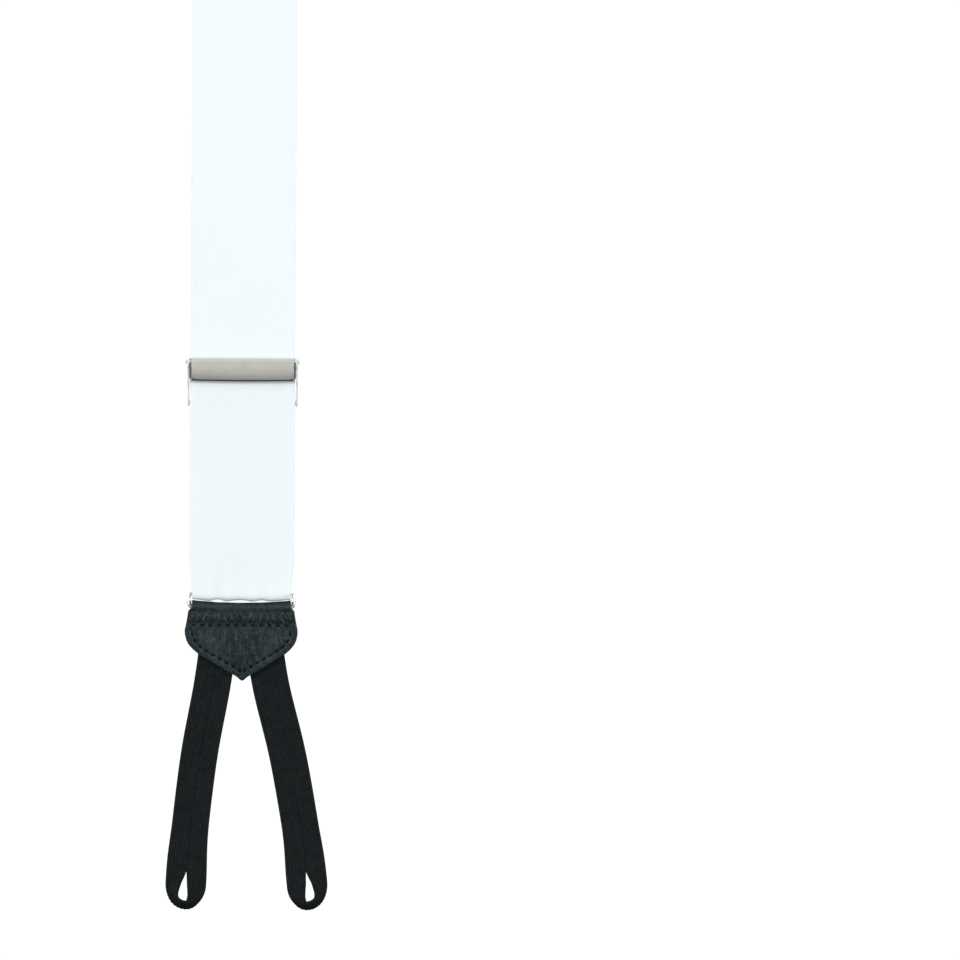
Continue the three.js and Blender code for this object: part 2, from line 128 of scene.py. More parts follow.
def make_camera():
    data = bpy.data.cameras.new("camera")
    data.sensor_width = 36
    data.lens = data.sensor_width * CAMERA_DISTANCE / FRAME_WIDTH
    data.clip_end = 100
    camera = bpy.data.objects.new("camera", data)
    strap_x, strap_y, _ = joint_place("left_ring_pivot")
    loop_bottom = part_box("left_braid_outer")[0][2]
    place_at = Vector((
        strap_x + STRAP_LEFT_OF_MIDDLE,
        strap_y - CAMERA_DISTANCE,
        loop_bottom + LOOPS_BELOW_MIDDLE,
    ))
    turn = Matrix.Rotation(math.pi / 2, 4, "X") @ Matrix.Rotation(CAMERA_ROLL, 4, "Z")
    camera.matrix_world = Matrix.Translation(place_at) @ turn
    bpy.context.scene.collection.objects.link(camera)
    bpy.context.scene.camera = camera


def area_light(name, offset, size, power):
    """A disk light at a place given from the middle of the straps, and turned towards it."""
    data = bpy.data.lights.new(name, "AREA")
    data.shape = "DISK"
    data.size = size
    data.energy = power
    light = bpy.data.objects.new(name, data)
    light.location = (cad_low + cad_high) / 2 + offset
    light.rotation_euler = (-offset).to_track_quat("-Z", "Y").to_euler()
    bpy.context.scene.collection.objects.link(light)


def white_when_seen(tree, lit, seen, output):
    """Joins two shaders, so that the camera sees the second and everything else is lit by the first."""
    path = tree.nodes.new("ShaderNodeLightPath")
    mix = tree.nodes.new("ShaderNodeMixShader")
    tree.links.new(path.outputs["Is Camera Ray"], mix.inputs[0])
    tree.links.new(lit.outputs[0], mix.inputs[1])
    tree.links.new(seen.outputs[0], mix.inputs[2])
    tree.links.new(mix.outputs[0], output.inputs[0])


def make_world():
    """A white studio: pure white to the camera, and brighter above than below to everything else."""
    world = bpy.data.worlds.new("studio")
    bpy.context.scene.world = world
    world.use_nodes = True
    nodes, links = world.node_tree.nodes, world.node_tree.links
    nodes.clear()
    coordinate = nodes.new("ShaderNodeTexCoord")
    split = nodes.new("ShaderNodeSeparateXYZ")
    height = nodes.new("ShaderNodeMapRange")
    height.inputs["From Min"].default_value = -1
    ramp = nodes.new("ShaderNodeValToRGB")
    dark, light = ramp.color_ramp.elements
    dark.position, dark.color = 0.34, (0.26, 0.27, 0.28, 1)
    light.position, light.color = 0.56, (1, 1, 1, 1)
    lighting = nodes.new("ShaderNodeBackground")
    lighting.inputs["Strength"].default_value = 0.76
    seen = nodes.new("ShaderNodeBackground")
    seen.inputs["Color"].default_value = (1, 1, 1, 1)
    seen.inputs["Strength"].default_value = SEEN_WHITE
    links.new(coordinate.outputs["Generated"], split.inputs[0])
    links.new(split.outputs["Z"], height.inputs["Value"])
    links.new(height.outputs[0], ramp.inputs[0])
    links.new(ramp.outputs[0], lighting.inputs["Color"])
    white_when_seen(world.node_tree, lighting, seen, nodes.new("ShaderNodeOutputWorld"))


def make_floor():
    """A pale floor that reads as white seamless paper to the camera."""
    size = 4.0
    z = cad_low[2] - FLOOR_DROP
    mesh = bpy.data.meshes.new("floor")
    corners = [(-size, -size, z), (size, -size, z), (size, size, z), (-size, size, z)]
    mesh.from_pydata(corners, [], [(0, 1, 2, 3)])
    floor = bpy.data.objects.new("floor", mesh)
    bpy.context.scene.collection.objects.link(floor)
    material = bpy.data.materials.new("floor_paper")
    material.use_nodes = True
    nodes = material.node_tree.nodes
    nodes.clear()
    paper = nodes.new("ShaderNodeBsdfDiffuse")
    paper.inputs["Color"].default_value = (0.3, 0.3, 0.3, 1)
    white = nodes.new("ShaderNodeEmission")
    white.inputs["Strength"].default_value = SEEN_WHITE
    white_when_seen(material.node_tree, paper, white, nodes.new("ShaderNodeOutputMaterial"))
    mesh.materials.append(material)


def make_studio():
    bpy.context.scene.view_settings.view_transform = "Standard"
    make_camera()
    make_world()
    make_floor()
    for name, place, size, power in LIGHTS:
        area_light(name, Vector(place), size, power)


# ---------------------------------------------------------------- materials

class Graph:
    """A material's node tree, with short calls for what the materials here share."""

    def __init__(self, name):
        self.material = bpy.data.materials.new(name)
        self.material.use_nodes = True
        self.tree = self.material.node_tree
        self.shader = self.tree.nodes["Principled BSDF"]

    def plug(self, socket, value):
        if hasattr(value, "is_output"):
            self.tree.links.new(value, socket)
        else:
            socket.default_value = value

    def node(self, kind, **inputs):
        made = self.tree.nodes.new("ShaderNode" + kind)
        for name, value in inputs.items():
            self.plug(made.inputs[name.replace("_", " ")], value)
        return made

    def shaded(self, **inputs):
        """The material, with these inputs to its shader."""
        for name, value in inputs.items():
            self.plug(self.shader.inputs[name.replace("_", " ")], value)
        return self.material

    def cloth(self):
        """Place on the piece in millimetres: x across it and y along it."""
        attribute = self.node("Attribute")
        attribute.attribute_name = "cloth"
        return attribute.outputs["Vector"]

    def space(self):
        """Place in the frame in millimetres."""
        scale = self.node("VectorMath")
        scale.operation = "SCALE"
        self.plug(scale.inputs[0], self.node("TexCoord").outputs["Object"])
        self.plug(scale.inputs["Scale"], 1 / MM)
        return scale.outputs[0]

    def mapped(self, vector, scale=(1, 1, 1), turn=0.0):
        return self.node("Mapping", Vector=vector, Scale=scale, Rotation=(0, 0, turn)).outputs[0]

    def noise(self, vector, scale, detail=2.0, roughness=0.5):
        made = self.node("TexNoise", Vector=vector, Scale=scale, Detail=detail, Roughness=roughness)
        return made.outputs["Fac"]

    def ramp(self, value, *stops):
        made = self.node("ValToRGB")
        for element, (position, colour) in zip(made.color_ramp.elements, stops):
            element.position = position
            element.color = (*colour, 1)
        self.plug(made.inputs[0], value)
        return made.outputs[0]

    def between(self, value, low, high, source_low=0.0, source_high=1.0):
        made = self.node("MapRange", Value=value, From_Min=source_low, From_Max=source_high,
                         To_Min=low, To_Max=high)
        return made.outputs[0]

    def mixed(self, share, first, second):
        """A mix of two colours. A Mix node's sockets 6 and 7 and its output 2 are the colours."""
        made = self.node("Mix")
        made.data_type = "RGBA"
        for place, value in ((0, share), (6, first), (7, second)):
            self.plug(made.inputs[place], value)
        return made.outputs[2]

    def maths(self, operation, first, second):
        made = self.node("Math")
        made.operation = operation
        self.plug(made.inputs[0], first)
        self.plug(made.inputs[1], second)
        return made.outputs[0]

    def product(self, first, second):
        return self.maths("MULTIPLY", first, second)

    def total(self, *parts):
        """The sum of some values, each given with its share."""
        scaled = [self.product(value, share) for value, share in parts]
        return self.maths("ADD", *scaled)

    def bump(self, height, distance, strength=1.0):
        return self.node("Bump", Height=height, Distance=distance * MM, Strength=strength).outputs[0]


def satin_ribbon():
    """White satin-faced ribbon: a fine diagonal twill with a faint shimmer along the strap."""
    graph = Graph("satin_ribbon")
    cloth = graph.cloth()
    twill = graph.node("TexWave", Vector=graph.mapped(cloth, turn=math.radians(45)), Scale=0.9,
                       Distortion=0.35, Detail=1.0)
    lines = twill.outputs["Fac"]
    slub = graph.noise(graph.mapped(cloth, scale=(2.2, 0.16, 1)), 1.0, 3.0)
    tone = graph.total((lines, 0.5), (slub, 0.5))
    return graph.shaded(
        Base_Color=graph.ramp(tone, (0.15, (0.80, 0.868, 0.895)), (0.85, (0.865, 0.93, 0.955))),
        Roughness=graph.between(slub, 0.40, 0.56),
        Specular_IOR_Level=0.35,
        Subsurface_Weight=0.3,
        Subsurface_Radius=(1.0, 1.0, 1.0),
        Subsurface_Scale=0.9 * MM,
        Sheen_Weight=0.12,
        Sheen_Roughness=0.4,
        Normal=graph.bump(lines, 0.05, 0.35),
    )


def woven_elastic():
    """White elastic webbing: lengthwise ribs crossed by a tight weft."""
    graph = Graph("woven_elastic")
    cloth = graph.cloth()
    weft = graph.node("TexWave", Vector=cloth, Scale=0.55, Distortion=0.5, Detail=1.0)
    weft.bands_direction = "Y"
    fuzz = graph.noise(cloth, 2.5, 4.0)
    tone = graph.total((weft.outputs["Fac"], 0.4), (fuzz, 0.6))
    return graph.shaded(
        Base_Color=graph.ramp(tone, (0.2, (0.72, 0.775, 0.80)), (0.8, (0.84, 0.90, 0.925))),
        Roughness=graph.between(fuzz, 0.6, 0.8),
        Specular_IOR_Level=0.3,
        Sheen_Weight=0.15,
        Normal=graph.bump(tone, 0.12, 0.6),
    )


def satin_nickel():
    """Plated sheet metal with a satin grain along X, with painted shade at its ends and where it curls
    under.
    """
    graph = Graph("satin_nickel")
    space = graph.space()
    grain = graph.noise(graph.mapped(space, scale=(0.35, 9, 9)), 1.0, 4.0, 0.6)
    clouds = graph.noise(space, 0.22, 2.0)
    split = graph.node("SeparateXYZ", Vector=graph.cloth())
    across = split.outputs["X"]
    from_left = graph.maths("ADD", across, LEVER_HALF)
    from_right = graph.maths("SUBTRACT", LEVER_HALF, across)
    # Painted shade: near black is mixed in at the plate's ends and along its curled-under lip, where
    # shade falls.
    ends = graph.product(graph.between(from_left, 0.0, 1.0, -0.2, 0.05),
                         graph.between(from_right, 0.5, 1.0, 0.0, 0.15))
    painted_light_and_shade = graph.product(graph.between(split.outputs["Y"], 0.0, 1.0, 1.1, 1.5), ends)
    tone = graph.total((grain, 0.4), (clouds, 0.6))
    plating = graph.ramp(tone, (0.3, (0.70, 0.70, 0.638)), (0.7, (0.79, 0.79, 0.723)))
    return graph.shaded(
        Base_Color=graph.mixed(painted_light_and_shade, (0.035, 0.035, 0.033, 1), plating),
        Metallic=1.0,
        Roughness=graph.between(grain, 0.30, 0.46),
        Normal=graph.bump(grain, 0.012, 0.5),
    )


def bright_nickel():
    """The adjuster's frame and pin: pale bright plating with fine drawn lines."""
    graph = Graph("bright_nickel")
    space = graph.space()
    grain = graph.noise(graph.mapped(space, scale=(5, 5, 0.6)), 1.0, 3.0)
    clouds = graph.noise(space, 0.3, 2.0)
    return graph.shaded(
        Base_Color=graph.ramp(clouds, (0.35, (0.90, 0.905, 0.89)), (0.65, (0.97, 0.975, 0.965))),
        Metallic=0.4,
        Roughness=graph.between(grain, 0.26, 0.42),
        Normal=graph.bump(grain, 0.008, 0.4),
    )


def dark_nickel():
    """Near-black metal on the turned-in ends of the lever: painted shade for the deep gap beside the
    plate's ends.
    """
    graph = Graph("dark_nickel")
    shade_mottle = graph.noise(graph.space(), 0.8, 3.0)
    return graph.shaded(
        Base_Color=graph.ramp(shade_mottle, (0.3, (0.05, 0.05, 0.047)), (0.7, (0.10, 0.10, 0.095))),
        Metallic=1.0,
        Roughness=graph.between(shade_mottle, 0.45, 0.65),
    )


def polished_wire():
    """Bright nickel wire with drawn lines and a few dull patches."""
    graph = Graph("polished_wire")
    space = graph.space()
    lines = graph.noise(graph.mapped(space, scale=(0.5, 6, 6)), 1.0, 3.0)
    dull = graph.noise(space, 0.5, 2.0)
    return graph.shaded(
        Base_Color=graph.ramp(dull, (0.35, (0.86, 0.86, 0.84)), (0.65, (0.95, 0.95, 0.93))),
        Metallic=1.0,
        Roughness=graph.between(dull, 0.12, 0.26),
        Normal=graph.bump(lines, 0.01, 0.4),
    )


def grained_leather():
    """Black calf leather: fine pebble grain, mottled dye, and a painted sheen that makes it paler where
    cloth.Z says.
    """
    graph = Graph("grained_leather")
    space = graph.space()
    painted_light_and_shade = graph.node("SeparateXYZ", Vector=graph.cloth()).outputs["Z"]
    stretched = graph.mapped(space, scale=(1.2, 1.0, 0.8))
    cells = graph.node("TexVoronoi", Vector=stretched, Scale=1.5, Randomness=0.85)
    cells.feature = "SMOOTH_F1"
    cells.inputs["Smoothness"].default_value = 0.6
    pebble = graph.between(cells.outputs["Distance"], 1.0, 0.0, 0.0, 0.7)
    fine = graph.noise(stretched, 2.6, 3.0, 0.55)
    creases = graph.noise(graph.mapped(space, scale=(1.0, 1.0, 0.62)), 0.85, 3.0, 0.6)
    mottle = graph.noise(graph.mapped(space, scale=(1.0, 1.0, 0.75)), 0.85, 4.0, 0.7)
    grain = graph.total((pebble, 0.6), (fine, 0.4))
    height = graph.total((grain, 0.4), (creases, 1.0))
    dye = graph.total((mottle, 0.8), (grain, 0.2))
    # Painted sheen: cloth.Z makes the dye paler where light would gleam on the leather.
    tone = graph.total((dye, 1.0), (painted_light_and_shade, 0.24))
    return graph.shaded(
        Base_Color=graph.ramp(tone, (0.38, (0.0008, 0.0024, 0.0034)), (0.74, (0.0250, 0.0360, 0.0410))),
        Roughness=graph.between(mottle, 0.48, 0.30, 0.35, 0.65),
        Specular_IOR_Level=0.34,
        Specular_Tint=(0.75, 0.94, 1.0, 1.0),
        Normal=graph.bump(height, 0.30, 1.0),
    )


def braid_yarn():
    """Black rayon yarn: fine twisted filaments with a dull gleam, and painted shade that darkens it
    between the strands.
    """
    graph = Graph("braid_yarn")
    cloth = graph.cloth()
    split = graph.node("SeparateXYZ", Vector=cloth)
    filaments = graph.noise(graph.mapped(cloth, scale=(9, 3, 1)), 1.0, 3.0)
    patches = graph.noise(cloth, 0.35, 2.0)
    crown = graph.product(split.outputs["Z"], graph.between(patches, 0.75, 1.2, 0.3, 0.7))
    return graph.shaded(
        # Painted shade: the colour follows the strands' height and is darker in the hollows between them.
        Base_Color=graph.ramp(crown, (0.15, (0.0022, 0.0034, 0.0037)), (0.95, (0.0062, 0.0088, 0.0096))),
        Roughness=graph.between(filaments, 0.5, 0.75),
        Specular_IOR_Level=graph.between(crown, 0.07, 0.22),
        Specular_Tint=(0.82, 0.96, 1.0, 1.0),
        Normal=graph.bump(filaments, 0.06, 0.6),
    )


def sewing_thread(name, colour, gloss):
    """Twisted thread: its ply shows as slanting bands."""
    graph = Graph(name)
    space = graph.space()
    ply = graph.node("TexWave", Vector=graph.mapped(space, turn=math.radians(35)), Scale=1.6,
                     Distortion=0.4)
    dark = tuple(0.62 * channel for channel in colour)
    return graph.shaded(
        Base_Color=graph.ramp(ply.outputs["Fac"], (0.2, dark), (0.8, colour)),
        Roughness=graph.between(ply.outputs["Fac"], gloss + 0.15, gloss),
        Specular_IOR_Level=0.16,
        Specular_Tint=(0.72, 0.92, 1.0, 1.0),
        Normal=graph.bump(ply.outputs["Fac"], 0.05, 0.6),
    )


# ---------------------------------------------------------------- mesh helpers

def mesh_piece(name, points, faces, material, cloth=None):
    """A smooth-shaded piece from points in metres. Its faces are turned to point out."""
    mesh = bpy.data.meshes.new(name)
    mesh.from_pydata(points.tolist(), [], faces)
    if cloth is not None:
        attribute = mesh.attributes.new("cloth", "FLOAT_VECTOR", "POINT")
        attribute.data.foreach_set("vector", np.asarray(cloth, np.float32).ravel())
    mesh.calc_loop_triangles()
    corner = np.empty(len(mesh.loop_triangles) * 3, np.int32)
    mesh.loop_triangles.foreach_get("vertices", corner)
    a, b, c = (points[corner.reshape(-1, 3)[:, k]] for k in range(3))
    if np.einsum("ij,ij->i", a, np.cross(b, c)).sum() < 0:
        mesh.flip_normals()
    mesh.polygons.foreach_set("use_smooth", [True] * len(mesh.polygons))
    mesh.materials.append(material)
    mesh.update()
    piece = bpy.data.objects.new(name, mesh)
    bpy.context.scene.collection.objects.link(piece)
    return piece


def sheet_faces(rows, columns):
    """Faces of a closed skin whose loops hold a front row and then the back row without its ends."""
    size = 2 * columns - 2
    faces = tube_faces(0, size, rows)

    def rear(column):
        return column if column in (0, columns - 1) else size - column

    for base, turn in ((0, -1), ((rows - 1) * size, 1)):
        for column in range(columns - 1):
            corners = dict.fromkeys([column, column + 1, rear(column + 1), rear(column)])
            faces.append([base + k for k in corners][::turn])
    return faces


def closed_sheet(name, middle, normal, front, back, material, cloth):
    """A closed skin round a middle surface. Front and back are its depths on either side."""
    rows, columns = middle.shape[:2]
    face = middle + normal * front[..., None]
    rear = middle - normal * back[..., None]
    loops = np.concatenate([face, rear[:, -2:0:-1]], axis=1)
    marks = np.concatenate([cloth, cloth[:, -2:0:-1]], axis=1)
    points = loops.reshape(-1, 3)
    return mesh_piece(name, points, sheet_faces(rows, columns), material, marks.reshape(-1, 3))


def rounded(inside, radius):
    """How full a sheet is at a distance inside its edge, where the edge is rounded over."""
    return np.sqrt(1 - (1 - np.clip(inside / radius, 0, 1)) ** 2)


def bell(value, width):
    return np.exp(-(value / width) ** 2)


def columns_across(half, edge, step):
    """Places from -half to half, close together at the edges, and how full the thickness is at each."""
    near = edge * np.array([0.0, 0.08, 0.25, 0.5, 0.75, 1.0])
    inner = np.arange(-half + edge + step, half - edge - step / 2, step)
    places = np.concatenate([near - half, inner, (half - near)[::-1]])
    return places, rounded(half - np.abs(places), edge)


def smooth_step(value, low, high):
    t = np.clip((value - low) / (high - low), 0, 1)
    return t * t * (3 - 2 * t)


def lengths_along(path):
    """The length of a path from its start to each of its points."""
    steps = np.linalg.norm(np.diff(path, axis=0), axis=1)
    return np.concatenate([[0], np.cumsum(steps)])


def spread_evenly(points, count):
    """The same path with a number of evenly spaced points."""
    along = lengths_along(points)
    wanted = np.linspace(0, along[-1], count)
    return vectors(*(np.interp(wanted, along, column) for column in points.T))


def walk(points, step):
    """The same path with points about a step apart, keeping its first and last."""
    points = np.asarray(points, float)
    count = max(2, int(round(lengths_along(points)[-1] / step)) + 1)
    return spread_evenly(points, count)


def eased(values, width):
    """A row of values smoothed over a width in points, with its ends held."""
    kernel = np.hanning(width)
    return np.convolve(np.pad(values, width // 2, mode="edge"), kernel / kernel.sum(), mode="valid")


def around(sides):
    """Angles evenly round a circle."""
    return np.linspace(0, 2 * math.pi, sides, endpoint=False)


def tube_faces(base, sides, rings, closed=False):
    """Faces of a tube whose points come ring after ring, from point number base."""
    here = np.arange(sides)
    beside = (here + 1) % sides
    ring = np.arange(rings if closed else rings - 1)[:, None]
    start, beyond = base + ring * sides, base + (ring + 1) % rings * sides
    quads = vectors(start + here, start + beside, beyond + beside, beyond + here)
    return quads.reshape(-1, 4).tolist()


def rod_faces(base, sides, rings):
    """A tube's faces with a flat one over each end."""
    first = [base + k for k in range(sides)]
    last = [k + (rings - 1) * sides for k in first]
    return [*tube_faces(base, sides, rings), first[::-1], last]


def arc(centre, radius, start, stop, steps):
    angles = np.radians(np.linspace(start, stop, steps + 1))
    return vectors(centre[0] + radius * np.cos(angles), centre[1] + radius * np.sin(angles))


def unit(directions):
    return directions / np.linalg.norm(directions, axis=-1, keepdims=True)


def tangents(path):
    return unit(np.gradient(path, axis=0))


def clockwise(directions):
    """Directions in a plane, each turned by a quarter."""
    return vectors(directions[:, 1], -directions[:, 0])


def catmull(points, steps):
    """A smooth curve through given points, with even steps between each two."""
    points = np.asarray(points, float)
    padded = np.vstack([2 * points[0] - points[1], points, 2 * points[-1] - points[-2]])
    curve = []
    for i in range(1, len(padded) - 2):
        p0, p1, p2, p3 = padded[i - 1:i + 3]
        t = np.linspace(0, 1, steps, endpoint=False)[:, None]
        curve.append(0.5 * (2 * p1 + (p2 - p0) * t + (2 * p0 - 5 * p1 + 4 * p2 - p3) * t ** 2
                            + (3 * p1 - p0 - 3 * p2 + p3) * t ** 3))
    return np.vstack([*curve, points[-1:]])


def swept(path, x):
    """Points and normals of a sheet along a path of (y, z), with x given at every point."""
    direction = tangents(path)
    points = vectors(x, path[:, :1], path[:, 1:])
    return points, vectors(0 * x, -direction[:, 1:], direction[:, :1])


class End:
    """One hanging end. Its own millimetres start at the ring's top bar, with -y away from the body."""

    def __init__(self, name, turn, side):
        self.name = name
        self.turn = turn  # 1 at the front; -1 at the back, which faces the other way
        self.side = side  # mirrors the loops
        self.origin = joint_place(f"{name}_ring_pivot")
        self.lower_bar = (joint_place(f"{name}_tab_pivot")[2] - self.origin[2]) / MM

    def place(self, points):
        return self.origin + metres(points) * (self.turn, self.turn, 1)

    def direct(self, directions):
        return np.asarray(directions) * (self.turn, self.turn, 1)


def across_strip(end, name, path, step, material, relief):
    """A strip of ribbon or elastic that follows a path of (y, z). relief moves its outer face."""
    places, fullness = columns_across(STRAP_HALF, STRAP_THICK / 2, step)
    x = places / STRAP_HALF * strap_half(path[:, 1:])
    middle, normal = swept(path, x)
    along = lengths_along(path)[:, None]
    back = STRAP_THICK / 2 * fullness
    front = back + relief(x, along) * fullness
    return closed_sheet(name, end.place(middle), end.direct(normal), front * MM, back * MM,
                        material, vectors(x, along, 0))


# ---------------------------------------------------------------- straps

def strap_half(z):
    """Half the strap's width at a height above the ring."""
    return FOLD_HALF + (STRAP_HALF - FOLD_HALF) * smooth_step(z, 0, DRAW_IN_HEIGHT)


def gathers(x, z):
    """The small waves that the cloth is crowded into where it goes round the ring."""
    near = bell(z + 1.2, 4.5)
    waves = 0.26 * np.cos(2 * math.pi * (x - 3.6) / 8.2) + 0.09 * np.cos(2 * math.pi * x / 5.1 + 1)
    waves = waves * (1 - 0.5 * (x / FOLD_HALF) ** 4) * (1 - 0.3 * np.tanh(x / 9))
    lifted_ends = (0.38 + 0.16 * np.tanh(x / 9)) * (x / FOLD_HALF) ** 6 * smooth_step(-z, 0.2, 1.2)
    return near * (waves + 0.28 + 0.008 * x - lifted_ends)


class Shoulder:
    """A tilted cylinder that a straight strap is laid on, so the strap is straight when unrolled."""

    def __init__(self, side):
        name = "left" if side > 0 else "right"
        low, high = (np.array(corner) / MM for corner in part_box(f"{name}_ribbon"))
        self.side = side
        self.radius = (high[1] - low[1] - STRAP_THICK) / 2
        self.front_x = abs(joint_place(f"{name}_ring_pivot")[0]) / MM
        self.half_turn = math.pi * self.radius
        self.cut_z = low[2]
        rise = self.half_turn / 2 * math.tan(SHOULDER_SLOPE) * math.sin(SHOULDER_SLOPE)
        self.tangent_z = -self.radius * math.cos(SHOULDER_SLOPE) - rise
        self.axis_out = np.array([math.cos(SHOULDER_SLOPE), 0, -math.sin(SHOULDER_SLOPE)])
        self.axis_up = np.array([math.sin(SHOULDER_SLOPE), 0, math.cos(SHOULDER_SLOPE)])

    def point(self, along, across):
        """Point and outward normal at a length along the strap from the front tangent."""
        sine, cosine = math.sin(SHOULDER_SLOPE), math.cos(SHOULDER_SLOPE)
        axial = -along * sine + across * cosine
        wrapped = along * cosine + across * sine
        angle = np.clip(wrapped, 0, self.half_turn) / self.radius
        normal = (-np.cos(angle)[..., None] * np.array([0, 1, 0])
                  + np.sin(angle)[..., None] * self.axis_up)
        straight = np.minimum(wrapped, 0) + np.minimum(self.half_turn - wrapped, 0)
        point = (np.array([self.front_x, 0, self.tangent_z]) + axial[..., None] * self.axis_out
                 + normal * self.radius + straight[..., None] * self.axis_up)
        return point, normal

    def back_rows(self, places):
        """Rows from the front tangent over the shoulder and down to the mitre at the back."""
        slope = SHOULDER_SLOPE
        half = STRAP_HALF
        middle_x = 0.15
        meets = (self.front_x - middle_x + self.half_turn * math.sin(slope)
                 - half * math.cos(2 * slope)) / math.sin(2 * slope)
        along = np.arange(0, meets, 2.4)
        along = np.append(along, meets)
        grid_along, grid_across = np.meshgrid(along, places, indexing="ij")
        points, normals = self.point(grid_along, grid_across)
        cut = (self.tangent_z - half * math.sin(2 * slope) + self.half_turn * math.cos(slope)
               - self.cut_z) / math.cos(2 * slope)
        outer, _ = self.point(np.array([cut]), np.array([half]))
        inner = np.array([middle_x, self.radius, self.cut_z])
        share = ((places + half) / (2 * half))[:, None]
        last = inner + (outer[0] - inner) * share
        steps = 14
        blend = (np.arange(1, steps + 1) / steps)[:, None, None]
        mitre = points[-1] + (last - points[-1]) * blend
        facing = np.broadcast_to(normals[-1], mitre.shape)
        reach = np.linalg.norm(mitre - points[-1], axis=-1)
        mitre_along = meets + reach
        return (np.concatenate([points, mitre]), np.concatenate([normals, facing]),
                np.concatenate([grid_along, mitre_along]))


def drift(x, along):
    """Slow unevenness of a hanging strap, in millimetres."""
    return (0.10 * np.sin(along / 23 + 0.7) * np.cos(x / 15) + 0.07 * np.sin(along / 9.5 + x / 12)
            + 0.05 * np.sin(along / 41 - x / 7))


def selvedge(x, half):
    """The woven edge stands a little proud of the ribbon's face."""
    return 0.07 * bell(half - np.abs(x) - 0.9, 0.45)


def fold_path(top, back_top):
    """(y, z) from the back turn-up, round the ring and up the front to a height."""
    r = FOLD_RADIUS
    back = [(r, back_top), (r, 0)]
    bend = arc((0, 0), 1, 0, -180, 30)
    bend = r * np.sign(bend) * np.abs(bend) ** 0.62  # flatter than a circle, with tighter corners
    bend[:, 1] *= 1.24  # it hangs a little below the bar
    front = [(-r, 0), (-r, 18)]
    return np.vstack([walk(back, 0.8), bend[1:-1], walk(front, 0.8),
                      walk([(-r, 18), (-r, top)], 2.4)[1:]])


def ribbon(end, material):
    """One continuous ribbon: turn-up behind the ring, front of the body, shoulder and back."""
    shoulder = Shoulder(end.side)
    places, fullness = columns_across(STRAP_HALF, STRAP_THICK / 2, RIBBON_STEP)
    tangent_height = shoulder.tangent_z - end.origin[2] / MM
    gap = 0.6  # between the last row of the hanging part and the first over the shoulder
    path = fold_path(tangent_height - gap, SEAM_HEIGHT)
    x = places / STRAP_HALF * strap_half(path[:, 1:])
    low_points, low_normals = swept(path, x)
    low_points = low_points + low_normals * gathers(x, path[:, 1:])[..., None]
    low_along = lengths_along(path)[:, None] + 0 * x
    flip = np.array([end.side, 1, 1])
    high_points, high_normals, high_along = shoulder.back_rows(places)
    if end.side < 0:
        high_points, high_normals = high_points[:, ::-1], high_normals[:, ::-1]
        high_along = high_along[:, ::-1]
    middle = np.concatenate([end.place(low_points), metres(high_points * flip)])
    normal = np.concatenate([low_normals, high_normals * flip])
    along = np.concatenate([low_along, high_along + low_along[-1, 0] + gap])
    across = np.concatenate([x, np.broadcast_to(places, high_along.shape)])
    settled = smooth_step(along, 14, 40) * smooth_step(along.max() - along, 20, 60)
    middle = middle + normal * (drift(across, along) * settled * MM)[..., None]
    back = STRAP_THICK / 2 * fullness
    front = back + selvedge(across, STRAP_HALF) * fullness
    piece = closed_sheet(f"{end.name}_ribbon_cloth", middle, normal, front * MM, back * MM,
                         material, vectors(across, along, 0))
    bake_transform(piece)
    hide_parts(f"{end.name}_ribbon", f"{end.name}_ribbon_front")


def return_ribbon(end, material, thread):
    """The ribbon's end: up behind, over the adjuster's anchor bar and sewn down."""
    pin_z = joint_place(f"{end.name}_lever_hinge")[2]
    bar_z = (pin_z - end.origin[2]) / MM - PLATE_BELOW_PIN - ANCHOR_BELOW
    bar_y = ANCHOR_BEHIND - FOLD_RADIUS
    wrap = 1.6
    # It leans out as it rises.
    low_y, high_y = FOLD_RADIUS, bar_y + wrap - 0.2
    lean_top = bar_z - 5
    rise = [(low_y, SEAM_HEIGHT), (high_y, lean_top)]
    turn = arc((bar_y, bar_z), wrap, 0, 180, 16)
    inner = bar_y - wrap + 0.2
    down = [(inner, bar_z - 3), (inner + 0.15, bar_z - 6), (inner + 0.15, bar_z - 15)]
    path = np.vstack([walk(rise, 1.2), turn, walk(down, 0.8)])

    def relief(x, along):
        return selvedge(x, STRAP_HALF) + 0.5 * drift(x, along) * smooth_step(along, 6, 20)

    piece = across_strip(end, f"{end.name}_return_cloth", path, RIBBON_STEP, material, relief)
    rows = (bar_z - 14, bar_z - 12.4)
    sewn_y = low_y + (high_y - low_y) * (sum(rows) / 2 - RETURN_START) / (lean_top - RETURN_START)
    sewing = cross_rows(f"{end.name}_return_thread", end, rows,
                        [(1, sewn_y + STRAP_THICK / 2 + 0.05)], thread)
    for moving in (piece, sewing):
        tuple(end.place((0, FOLD_RADIUS, RETURN_START)))
        end.place((0, FOLD_RADIUS, 0))[1]
        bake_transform(moving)
    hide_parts(f"{end.name}_ribbon_return")


def elastic_strap(end, material, thread):
    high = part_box("elastic")[1]
    top = (high[2] - end.origin[2]) / MM
    path = fold_path(top, 30.0)

    def relief(x, along):
        ribs = 0.07 * np.abs(np.sin(math.pi * x / 1.9))
        return ribs + 0.5 * drift(x, along)

    piece = across_strip(end, "elastic_cloth", path, ELASTIC_STEP, material, relief)
    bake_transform(piece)
    outside = FOLD_RADIUS + STRAP_THICK / 2 + 0.05
    sewing = cross_rows("elastic_thread", end, (25.6, 27.4), [(-1, -outside), (1, outside)],
                        thread)
    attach(sewing, "back_end")
    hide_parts("elastic")


# ---------------------------------------------------------------- metal

